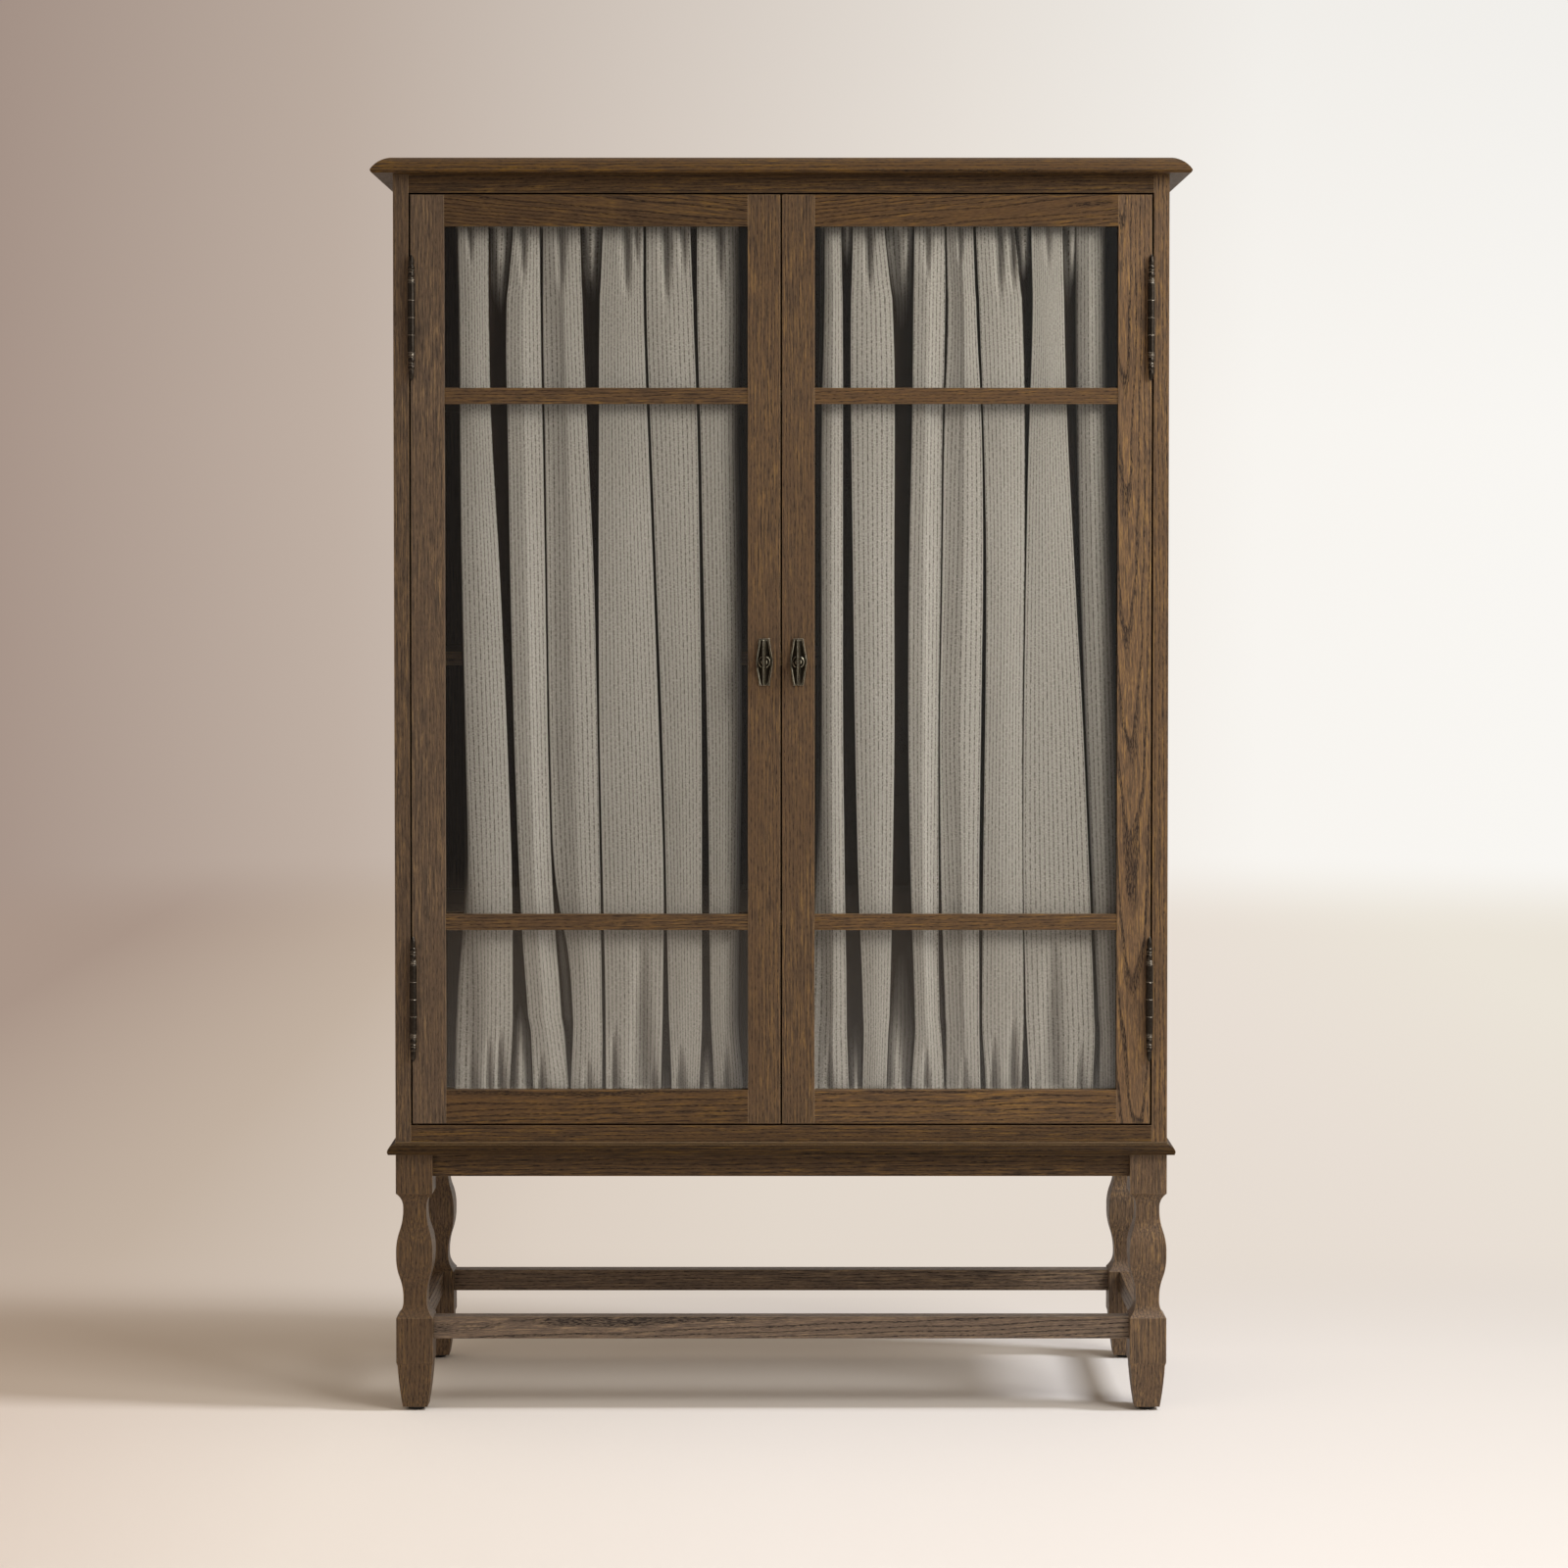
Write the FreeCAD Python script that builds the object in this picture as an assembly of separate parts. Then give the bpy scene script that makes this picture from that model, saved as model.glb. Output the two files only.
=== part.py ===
import FreeCAD, Part
import math
import os

# Storage cabinet on a stand of four sawn legs, with two glazed and curtained doors.
# Millimetres, +Z up, the front faces -Y, and the origin lies on the floor under the middle.

Vector = FreeCAD.Vector

# Case: the box above the stand
stand_height = 389.5
case_width = 1158.0
case_depth = 426.0
case_height = 1466.0
side_thickness = 23.0
front_rail_depth = 23.0
top_rail_height = 27.0
bottom_rail_reveal = 24.5
floor_thickness = 18.0
roof_thickness = 18.0
back_thickness = 8.0
back_rebate_width = 10.0
housing_depth = 6.0

# Side frames: posts at the front and back, rails between them and a thin panel
side_post_width = 80.0
side_rail_height = 80.0
side_panel_thickness = 9.0
side_panel_recess = 6.5
panel_groove_depth = 9.0
panel_groove_play = 1.5

# Joinery shared by all wooden pieces
joint_clearance = 0.2
case_tenon = 12.0
side_tenon = 24.0
shoulder = 6.0
overrun = 4.0

# Top board, with its moulded front and side edges
top_thickness = 24.5
top_overhang = 31.0
roll_width = 27.0
roll_drop = 19.6
roll_middle_shares = (0.41, 0.37)
nose_return = 2.2
nose_middle_shares = (0.22, 0.58)

# Moulding around the foot of the case
moulding_height = 18.5
moulding_projection = 12.0
cove_width = 2.3
cove_drop = 3.5
fillet_width = 1.0
fillet_drop = 1.2
ovolo_foot = 3.6
moulding_toe = 1.4

# Legs: square in section and sawn to one outline on all four faces
leg_size = 55.0
upper_block = 60.0
upper_cove = 22.0
upper_neck = 4.5
upper_swell = 60.5
belly_flat = 9.0
lower_swell = 63.0
lower_neck = 5.0
lower_cove = 24.3
lower_block = 67.0
neck_width = 35.0
belly_width = 54.8
ankle_width = 51.6
ankle_drop = 5.0
foot_width = 37.4
foot_bulge = 0.8

# Glides nailed under the legs
glide_diameter = 25.0
glide_height = 5.5
glide_edge = 1.5
glide_pin_diameter = 4.0
glide_pin_length = 16.0

# Aprons, stretchers and corner blocks of the stand
apron_height = 35.0
apron_thickness = 20.0
apron_recess = 10.0
stretcher_height = 33.0
stretcher_thickness = 25.0
stretcher_recess = 13.0
stand_tenon = 17.0
block_thickness = 18.0
block_height = 28.0

# Doors
door_gap = 3.0
door_thickness = 22.0
hinge_stile_width = 50.0
lock_stile_width = 48.3
door_top_rail = 47.0
door_bottom_rail = 50.5
door_tenon = 28.0
door_tenon_thickness = 8.0
rebate_width = 10.0
lip_depth = 9.0
end_pane_height = 240.5
muntin_height = 24.0
muntin_recess = 0.8
muntin_tenon = 8.0
muntin_shoulder = 2.2
glass_thickness = 3.0
glass_play = 1.0
bead_width = 9.0
bead_depth = 9.0

# Hinges: two to a door, turned barrels in front of the door's edge
hinge_from_top = 183.5
hinge_from_bottom = 187.5
barrel_radius = 5.35
barrel_standoff = 0.45
hinge_inset = 1.5
knuckle_height = 26.0
knuckle_gap = 0.3
leaf_thickness = 2.0
leaf_recess = 1.0
leaf_width = 19.0
leaf_sweep_clearance = 0.5
pin_radius = 2.5
pin_clearance = 0.06
finial_length = 42.0
finial_socket = 12.0
finial_neck_share = 0.70
finial_beads_shares = (
    (0.00, 0.05, 0.98), (0.05, 0.10, 0.98), (0.10, 0.15, 0.96),
    (0.18, 0.36, 0.94), (0.38, 0.46, 0.90), (0.46, 0.60, 0.94),
)
bullet_start_share = 0.63
bullet_waist_shares = (0.72, 0.82)
bullet_tip_share = 0.16
leaf_screw_radius = 1.5
leaf_screw_head = 3.1
leaf_screw_length = 14.0
leaf_screw_pitch = 38.0
leaf_screw_setback = 12.0
screw_clearance = 0.05

# Pulls: an upright bar on a stem, in front of a lozenge plate
pull_from_bottom = 693.0
pull_inset = 24.0
plate_length = 70.0
plate_width = 25.0
plate_end_width = 15.0
plate_waist = 8.0
plate_thickness = 3.2
plate_rim = 2.0
plate_rim_rise = 1.2
boss_radius = 8.6
boss_height = 2.6
stem_radius = 4.2
bar_length = 68.0
bar_width = 7.0
bar_depth = 8.0
bar_rounding = 1.8
bar_groove_width = 1.8
bar_groove_depth = 1.4
pull_projection = 32.0
pull_screw_radius = 2.0
pull_screw_head = 4.0
pull_screw_head_height = 2.4
pull_screw_grip = 9.0
pull_screw_clearance = 0.3

# Curtains, the rods that they are gathered on, and the rods' brackets
rod_radius = 4.0
rod_setback = 14.0
rod_reveal = 13.0
bracket_width = 10.0
bracket_height = 14.0
bracket_inset = 10.0
bracket_wall = 3.0
rod_end_play = 1.0
pocket_play = 0.5
pocket_wall = 1.6
curtain_setback = 20.5
curtain_thickness = 1.6
gather_setback = 16.0
gather_slope = 18.0
gather_height = 12.0
fold_slope = 38.0
fold_start = 75.0
fold_end = 75.0
fold_turn_share = 0.28
curtain_edge_gap = 1.5

# Where the folds' fronts begin and end, as shares of the pane's width, left to right
left_top_folds_shares = (
    (0.05, 0.145), (0.195, 0.30), (0.345, 0.455), (0.51, 0.655), (0.67, 0.82), (0.84, 0.96),
)
left_low_folds_shares = (
    (0.07, 0.215), (0.245, 0.365), (0.385, 0.51), (0.525, 0.715), (0.73, 0.85), (0.875, 0.985),
)
right_top_folds_shares = (
    (0.03, 0.095), (0.12, 0.265), (0.325, 0.42), (0.455, 0.54), (0.555, 0.69), (0.72, 0.825),
    (0.865, 0.96),
)
right_low_folds_shares = (
    (0.025, 0.10), (0.14, 0.26), (0.315, 0.405), (0.445, 0.54), (0.56, 0.69), (0.71, 0.905),
    (0.935, 0.99),
)

# Shelves and their supports
shelf_thickness = 20.0
shelf_setback = 58.0
shelf_side_play = 1.5
shelf_back_play = 2.0
pin_hole_radius = 2.5
pin_depth = 9.0
pin_hole_depth = 11.0
pad_length = 12.0
pad_width = 9.0
pad_thickness = 3.0
pin_edge = 9.0
hole_pitch = 32.0
holes_each_way = 2

# Magnetic catches under the roof, and the strike plates on the doors
catch_width = 36.0
catch_depth = 14.0
catch_drop = 30.0
catch_gap = 0.4
strike_width = 18.0
strike_height = 15.0
strike_thickness = 1.2
strike_inset = 25.0

# Sizes that follow from those above
case_bottom = stand_height
case_top = case_bottom + case_height
side = case_width / 2
front_reach = max(pull_projection, top_overhang)
front = -(case_depth - front_reach) / 2
back = front + case_depth
inner_side = side - side_thickness
bottom_rail_height = moulding_height + bottom_rail_reveal
floor_top = case_bottom + bottom_rail_height
roof_bottom = case_top - roof_thickness
back_face = back - back_thickness
door_bottom = floor_top + door_gap
door_top = case_top - top_rail_height - door_gap
door_outer = inner_side - door_gap
door_inner = door_gap / 2
door_back = front + door_thickness
pane_outer = door_outer - hinge_stile_width
pane_inner = door_inner + lock_stile_width
pane_bottom = door_bottom + door_bottom_rail
pane_top = door_top - door_top_rail
glass_front = front + lip_depth
hinge_x = -(door_outer - hinge_inset)
hinge_y = front - barrel_radius - barrel_standoff
hinge_heights = (door_bottom + hinge_from_bottom, door_top - hinge_from_top)
pull_x = -(door_inner + pull_inset)
pull_height = door_bottom + pull_from_bottom
rod_y = door_back + rod_setback
rod_heights = (pane_bottom - rod_reveal, pane_top + rod_reveal)
shelf_front = front + shelf_setback
muntin_heights = (pane_bottom + end_pane_height, pane_top - end_pane_height - muntin_height)
lower_shelf_middle = muntin_heights[0] + muntin_height / 2
upper_shelf_middle = muntin_heights[1] + muntin_height / 2
shelf_middles = (lower_shelf_middle, (lower_shelf_middle + upper_shelf_middle) / 2, upper_shelf_middle)
lower_block_top = stand_height - (
    upper_block + upper_cove + upper_neck + upper_swell + belly_flat + lower_swell + lower_neck + lower_cove
)


def block(x, y, z):
    """Box from its low and high bound on each axis."""
    return Part.makeBox(x[1] - x[0], y[1] - y[0], z[1] - z[0], Vector(x[0], y[0], z[0]))


def grown(span, margin):
    return (span[0] - margin, span[1] + margin)


def mirror_x(shape):
    return shape.mirror(Vector(0, 0, 0), Vector(1, 0, 0))


def mirror_y(shape):
    """Mirror about the case's middle plane, front to back."""
    return shape.mirror(Vector(0, (front + back) / 2, 0), Vector(0, 1, 0))


def moved(shape, x, y, z):
    copy = shape.copy()
    copy.translate(Vector(x, y, z))
    return copy


def edges_through(start, steps):
    """Lines and arcs in a row: a step is an end point, or an arc's middle and end points."""
    edges = []
    here = start
    for step in steps:
        if len(step) == 2:
            edges.append(Part.Arc(here, step[0], step[1]).toShape())
        else:
            edges.append(Part.makeLine(here, step[0]))
        here = step[-1]
    return edges


def outline(start, steps):
    """Closed wire of lines and arcs, the last step joined to the start."""
    edges = edges_through(start, steps)
    edges.append(Part.makeLine(edges[-1].Vertexes[-1].Point, start))
    return Part.Wire(edges)


def prism(wire, along):
    return Part.Face(wire).extrude(along)


def polygon_prism(points, z):
    """Upright prism on plan points, from the low to the high bound of z."""
    corners = [Vector(x, y, z[0]) for x, y in points]
    return prism(Part.makePolygon(corners + corners[:1]), Vector(0, 0, z[1] - z[0]))


def rod(radius, start, along):
    return Part.makeCylinder(radius, along.Length, start, along)


def tenoned(body, tenon):
    """A rail with the tenons at both its ends, and the tool that cuts both mortises."""
    bar = block(*body).fuse(block(*tenon)).removeSplitter()
    tool = block(*[grown(span, joint_clearance) for span in tenon])
    return bar, tool


def save(name, solids):
    """One file for a sub-part; like pieces that share a name are kept as separate solids."""
    shape = solids[0] if len(solids) == 1 else Part.makeCompound(solids)
    shape.exportStep("parts/" + name + ".step")


def save_pair(name, solids):
    """A left-hand sub-part and its mirror image on the right."""
    save("left_" + name, solids)
    save("right_" + name, [mirror_x(solid) for solid in solids])


# Stand

def tangent_arc(tangent, end):
    """Middle and end of the arc that leaves the tangent point upright and reaches the end."""
    across = end.x - tangent.x
    rise = end.z - tangent.z
    radius = (across ** 2 + rise ** 2) / (2 * abs(across))
    half_angle = math.atan2(abs(rise), radius - abs(across)) / 2
    middle_x = tangent.x + math.copysign(radius * (1 - math.cos(half_angle)), across)
    middle_z = tangent.z + math.copysign(radius * math.sin(half_angle), rise)
    return Vector(middle_x, 0, middle_z), end


def arc_into(start, tangent):
    """Middle and end of the arc that comes from the start and arrives upright."""
    middle, _ = tangent_arc(tangent, start)
    return middle, tangent


def leg_heights():
    """Heights of the leg outline's turning points, from the top down."""
    drops = (
        upper_block, upper_cove, upper_neck, upper_swell, belly_flat,
        lower_swell, lower_neck, lower_cove, lower_block,
    )
    heights = [stand_height]
    for drop in drops:
        heights.append(heights[-1] - drop)
    return heights


def leg_edges():
    """Right half of the leg's outline, from the top to the foot."""
    block_half = leg_size / 2
    neck_half = neck_width / 2
    belly_half = belly_width / 2
    halves = (
        block_half, block_half, neck_half, neck_half, belly_half,
        belly_half, neck_half, neck_half, block_half, block_half,
    )
    points = [Vector(half, 0, z) for half, z in zip(halves, leg_heights())]
    upper_turn = (points[3] + points[4]) / 2
    lower_turn = (points[5] + points[6]) / 2
    ankle = Vector(ankle_width / 2, 0, points[9].z - ankle_drop)
    foot = Vector(foot_width / 2, 0, glide_height)
    foot_middle = (ankle + foot) / 2 + Vector(foot_bulge, 0, 0)
    steps = [
        (points[1],), arc_into(points[1], points[2]), (points[3],),
        tangent_arc(points[3], upper_turn), arc_into(upper_turn, points[4]), (points[5],),
        tangent_arc(points[5], lower_turn), arc_into(lower_turn, points[6]), (points[7],),
        tangent_arc(points[7], points[8]), (points[9],), (ankle,), (foot_middle, foot),
    ]
    return edges_through(points[0], steps)


def sawn_leg():
    """Leg on the Z axis: the same outline sawn from the front and from the side."""
    right = leg_edges()
    left = [mirror_x(edge) for edge in right]
    head = Part.makeLine(left[0].Vertexes[0].Point, right[0].Vertexes[0].Point)
    sole_half = foot_width / 2
    sole = Part.makeLine(Vector(sole_half, 0, glide_height), Vector(-sole_half, 0, glide_height))
    wire = Part.Wire(Part.sortEdges(right + left + [head, sole])[0])
    slab = prism(wire, Vector(0, leg_size + overrun, 0))
    slab.translate(Vector(0, -(leg_size + overrun) / 2, 0))
    turned_slab = slab.copy()
    turned_slab.rotate(Vector(0, 0, 0), Vector(0, 0, 1), 90)
    return slab.common(turned_slab)


def stand_bar(height_span, recess, thickness, between_fronts):
    """Bar between two legs, with its mortise tool: along the front, or along the left side."""
    leg_inner = side - leg_size
    if between_fronts:
        along = (-leg_inner, leg_inner)
        across = (front + recess, front + recess + thickness)
    else:
        along = (front + leg_size, back - leg_size)
        across = (-side + recess, -side + recess + thickness)
    tenon_along = grown(along, stand_tenon)
    tenon_across = grown(across, -shoulder)
    tenon_height = grown(height_span, -shoulder)
    if between_fronts:
        return tenoned((along, across, height_span), (tenon_along, tenon_across, tenon_height))
    return tenoned((across, along, height_span), (tenon_across, tenon_along, tenon_height))


def glide_centre():
    return -side + leg_size / 2, front + leg_size / 2


def glide():
    """Round glide with a nail that stands up into the foot of the leg."""
    x, y = glide_centre()
    disc = Part.makeCylinder(glide_diameter / 2, glide_height, Vector(x, y, 0))
    disc = disc.makeFillet(glide_edge, [disc.Edges[0], disc.Edges[2]])
    nail = Part.makeCylinder(glide_pin_diameter / 2, glide_pin_length, Vector(x, y, glide_height))
    return disc.fuse(nail).removeSplitter()


def corner_block():
    """Diagonal block between two aprons, clear of the leg's inner corner."""
    near = apron_recess + apron_thickness
    reach = 2 * leg_size + joint_clearance
    far = reach + block_thickness * math.sqrt(2)
    points = (
        (-side + near, front + reach - near), (-side + reach - near, front + near),
        (-side + far - near, front + near), (-side + near, front + far - near),
    )
    return polygon_prism(points, (stand_height - block_height, stand_height))


def make_stand():
    apron_span = (stand_height - apron_height, stand_height)
    stretcher_span = (lower_block_top - stretcher_height, lower_block_top)
    front_apron, apron_tool = stand_bar(apron_span, apron_recess, apron_thickness, True)
    left_apron, side_apron_tool = stand_bar(apron_span, apron_recess, apron_thickness, False)
    front_stretcher, stretcher_tool = stand_bar(stretcher_span, stretcher_recess, stretcher_thickness, True)
    left_stretcher, side_stretcher_tool = stand_bar(
        stretcher_span, stretcher_recess, stretcher_thickness, False
    )
    x, y = glide_centre()
    leg = moved(sawn_leg(), x, y, 0)
    nail_hole = Part.makeCylinder(
        glide_pin_diameter / 2 + joint_clearance, glide_pin_length + overrun, Vector(x, y, glide_height)
    )
    for tool in (apron_tool, side_apron_tool, stretcher_tool, side_stretcher_tool, nail_hole):
        leg = leg.cut(tool)
    save("front_left_leg", [leg])
    save("front_right_leg", [mirror_x(leg)])
    save("back_left_leg", [mirror_y(leg)])
    save("back_right_leg", [mirror_x(mirror_y(leg))])
    save("front_apron", [front_apron])
    save("back_apron", [mirror_y(front_apron)])
    save_pair("apron", [left_apron])
    save("front_stretcher", [front_stretcher])
    save("back_stretcher", [mirror_y(front_stretcher)])
    save_pair("stretcher", [left_stretcher])
    save("corner_blocks", in_four_corners(corner_block()))
    save("foot_glides", in_four_corners(glide()))


def in_four_corners(shape):
    """The shape at the front left, and its images in the other three corners."""
    return [shape, mirror_x(shape), mirror_y(shape), mirror_x(mirror_y(shape))]


# Case

def front_rail(z):
    """Rail between the front posts, tenoned into both."""
    body = ((-inner_side, inner_side), (front, front + front_rail_depth), z)
    tenon = (grown(body[0], case_tenon), grown(body[1], -shoulder), grown(z, -shoulder))
    return tenoned(body, tenon)


def side_rail(z):
    """Rail of the left side frame, between its two posts."""
    body = ((-side, -inner_side), (front + side_post_width, back - side_post_width), z)
    tenon = (grown(body[0], -shoulder), grown(body[1], side_tenon), grown(z, -2 * shoulder))
    return tenoned(body, tenon)


def side_panel_spans(play):
    """Left panel in its grooves; the groove tool has no play."""
    reach = panel_groove_depth - play
    outer = -side + side_panel_recess
    return (
        (outer, outer + side_panel_thickness),
        (front + side_post_width - reach, back - side_post_width + reach),
        (case_bottom + moulding_height + side_rail_height - reach, case_top - side_rail_height + reach),
    )


def board_spans(z):
    """Floor or roof board, housed in both side frames."""
    reach = inner_side + housing_depth - joint_clearance
    return ((-reach, reach), (front + front_rail_depth, back_face), z)


def housing_tool(z):
    """Housing for a board in the left side frame."""
    return block(
        (-inner_side - housing_depth, -inner_side + overrun), (front + front_rail_depth, back_face), z
    )


def pin_rows():
    """Centre heights of the shelf supports, one for each shelf."""
    return [middle - shelf_thickness / 2 - pad_thickness / 2 for middle in shelf_middles]


def pin_columns():
    """Places of the supports from front to back."""
    return (shelf_front + pin_edge, back_face - shelf_back_play - pin_edge)


def pin_hole_tools():
    """Rows of holes in the left posts, so that each shelf can be moved up or down."""
    tools = []
    radius = pin_hole_radius + joint_clearance
    for y in pin_columns():
        for z in pin_rows():
            for step in range(-holes_each_way, holes_each_way + 1):
                mouth = Vector(-inner_side + overrun, y, z + step * hole_pitch)
                tools.append(rod(radius, mouth, Vector(-pin_hole_depth - overrun, 0, 0)))
    return tools


def shelf_pin(y, z):
    """Round pin in the left post with a flat pad under the shelf."""
    pin = rod(pin_hole_radius, Vector(-inner_side, y, z), Vector(-pin_depth, 0, 0))
    pad = block(
        (-inner_side, -inner_side + pad_length),
        (y - pad_width / 2, y + pad_width / 2),
        (z - pad_thickness / 2, z + pad_thickness / 2),
    )
    return pad.fuse(pin).removeSplitter()


def shelf(middle):
    reach = inner_side - shelf_side_play
    return block(
        (-reach, reach),
        (shelf_front, back_face - shelf_back_play),
        (middle - shelf_thickness / 2, middle + shelf_thickness / 2),
    )


def moulded_edge(edge, inward, place):
    """The top board's edge, from its top face round to its underside; place maps to 3-D."""
    top = case_top + top_thickness

    def at(inset, drop):
        return place(edge + inward * inset, top - drop)

    start = at(roll_width, 0)
    rolled = (
        at(roll_width * roll_middle_shares[0], roll_drop * roll_middle_shares[1]),
        at(0, roll_drop),
    )
    nose = (
        at(nose_return * nose_middle_shares[0],
           roll_drop + (top_thickness - roll_drop) * nose_middle_shares[1]),
        at(nose_return, top_thickness),
    )
    return start, rolled, nose


def top_board():
    """Board moulded on three edges: the side edges' section crossed with the front's."""
    half = side + top_overhang
    nosing = front - top_overhang

    def across(x, z):
        return Vector(x, nosing, z)

    def along(y, z):
        return Vector(-half, y, z)

    start, rolled, nose = moulded_edge(-half, 1, across)
    far_start, far_rolled, far_nose = moulded_edge(half, -1, across)
    steps = [rolled, nose, (far_nose[1],), (far_nose[0], far_rolled[1]), (far_rolled[0], far_start)]
    by_sides = prism(outline(start, steps), Vector(0, back - nosing, 0))
    start, rolled, nose = moulded_edge(nosing, 1, along)
    steps = [rolled, nose, (along(back, case_top),), (along(back, case_top + top_thickness),)]
    by_front = prism(outline(start, steps), Vector(2 * half, 0, 0))
    return by_sides.common(by_front)


def moulding_section():
    """Section at the left side's face: a cove, a fillet, an ovolo and a small toe."""
    top = case_bottom + moulding_height
    cove_foot = top - cove_drop
    shelf_out = cove_width + fillet_width
    case_edge = Vector(0, 0, top)
    ovolo_start = Vector(-shelf_out, 0, cove_foot - fillet_drop)
    ovolo_end = Vector(-moulding_projection, 0, case_bottom + ovolo_foot)
    steps = [
        tangent_arc(case_edge, Vector(-cove_width, 0, cove_foot)),
        (Vector(-shelf_out, 0, cove_foot),),
        (ovolo_start,),
        arc_into(ovolo_start, ovolo_end),
        (Vector(moulding_toe - moulding_projection, 0, case_bottom),),
        (Vector(0, 0, case_bottom),),
    ]
    return outline(case_edge, steps)


def base_moulding():
    """Front length and left length, mitred together; the right length mirrors the left."""
    out = side + moulding_projection
    front_out = front - moulding_projection
    z = grown((case_bottom, case_bottom + moulding_height), overrun)
    front_wire = moulding_section()
    front_wire.rotate(Vector(0, 0, 0), Vector(0, 0, 1), 90)
    front_wire.translate(Vector(-out, front, 0))
    front_zone = polygon_prism(((-out, front_out), (out, front_out), (side, front), (-side, front)), z)
    front_length = prism(front_wire, Vector(2 * out, 0, 0)).common(front_zone)
    side_wire = moved(moulding_section(), -side, front_out, 0)
    side_zone = polygon_prism(((-out, front_out), (-side, front), (-side, back), (-out, back)), z)
    side_length = prism(side_wire, Vector(0, back - front_out, 0)).common(side_zone)
    return [front_length, side_length, mirror_x(side_length)]


def catch():
    """Magnetic catch that hangs from the roof behind the left door's free corner."""
    middle = -(door_inner + strike_inset)
    catch_front = door_back + strike_thickness + catch_gap
    return block(
        grown((middle, middle), catch_width / 2),
        (catch_front, catch_front + catch_depth),
        (roof_bottom - catch_drop, roof_bottom),
    )


def side_posts(tools):
    """Front and back post of the left side frame, cut by the given tools."""
    z = (case_bottom, case_top)
    front_post = block((-side, -inner_side), (front, front + side_post_width), z)
    back_post = block((-side, -inner_side), (back - side_post_width, back), z)
    rebate = block(
        (-inner_side - back_rebate_width, -inner_side + overrun), (back_face, back + overrun), grown(z, overrun)
    )
    for tool in tools:
        front_post = front_post.cut(tool)
        back_post = back_post.cut(tool)
    return front_post, back_post.cut(rebate)


def make_case():
    top_rail, top_rail_tool = front_rail((case_top - top_rail_height, case_top))
    bottom_rail, bottom_rail_tool = front_rail((case_bottom, floor_top))
    upper_rail, upper_tool = side_rail((case_top - side_rail_height, case_top))
    lower_rail, lower_tool = side_rail((case_bottom, case_bottom + moulding_height + side_rail_height))
    groove = block(*side_panel_spans(0))
    floor_z = (floor_top - floor_thickness, floor_top)
    roof_z = (roof_bottom, case_top)
    housings = [housing_tool(floor_z), housing_tool(roof_z)]
    joints = [top_rail_tool, bottom_rail_tool, upper_tool, lower_tool, groove] + housings
    front_post, back_post = side_posts(joints + pin_hole_tools() + hinge_recesses(frame_leaf_zone))
    rails = [rail.cut(groove).cut(housings[0]).cut(housings[1]) for rail in (lower_rail, upper_rail)]
    save_pair("front_post", [front_post])
    save_pair("back_post", [back_post])
    save_pair("side_rails", rails)
    save_pair("side_panel", [block(*side_panel_spans(panel_groove_play))])
    save("front_top_rail", [top_rail])
    save("front_bottom_rail", [bottom_rail])
    save("case_floor", [block(*board_spans(floor_z))])
    save("case_roof", [block(*board_spans(roof_z))])
    panel_reach = inner_side + back_rebate_width - joint_clearance
    save("back_panel", [block((-panel_reach, panel_reach), (back_face, back), (case_bottom, case_top))])
    save("top_board", [top_board()])
    save("base_moulding", base_moulding())
    for name, middle in zip(("lower_shelf", "middle_shelf", "upper_shelf"), shelf_middles):
        save(name, [shelf(middle)])
    pins = [shelf_pin(y, z) for y in pin_columns() for z in pin_rows()]
    save("shelf_pins", pins + [mirror_x(pin) for pin in pins])
    save("door_catches", [catch(), mirror_x(catch())])


# Hinges, each made about its own pin and then moved to its place on the left side

def knuckle_spans(first):
    """Every second knuckle of a hinge, counted down from the top."""
    spans = []
    for index in range(first, 4, 2):
        top = (2 - index) * knuckle_height
        spans.append((top - knuckle_height, top))
    return spans


def frame_leaf_zone():
    """Where the frame's leaf lies, set half into the post."""
    face = -hinge_inset - door_gap
    return (face - leaf_recess, face - leaf_recess + leaf_thickness)


def door_leaf_zone():
    """Where the door's leaf lies, set half into the edge of the stile."""
    edge = -hinge_inset
    return (edge + leaf_recess - leaf_thickness, edge + leaf_recess)


def leaf_screw_places():
    """Heights of a leaf's screws and their distance behind the pin."""
    depth = barrel_radius + barrel_standoff + leaf_screw_setback
    return [(depth, step * leaf_screw_pitch) for step in (-1, 0, 1)]


def leaf_screw(zone, inward, margin):
    """Countersunk screw whose head is flush with the leaf's face; margin widens it to a hole."""
    head_x = zone[1] if inward < 0 else zone[0]
    head = Part.makeCone(
        leaf_screw_head + margin, leaf_screw_radius + margin, leaf_thickness,
        Vector(head_x, 0, 0), Vector(inward, 0, 0),
    )
    shank_start = Vector(head_x + inward * leaf_thickness, 0, 0)
    shank_length = leaf_screw_length + (overrun if margin else 0)
    shank = rod(leaf_screw_radius + margin, shank_start, Vector(inward * shank_length, 0, 0))
    return head.fuse(shank).removeSplitter()


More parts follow.
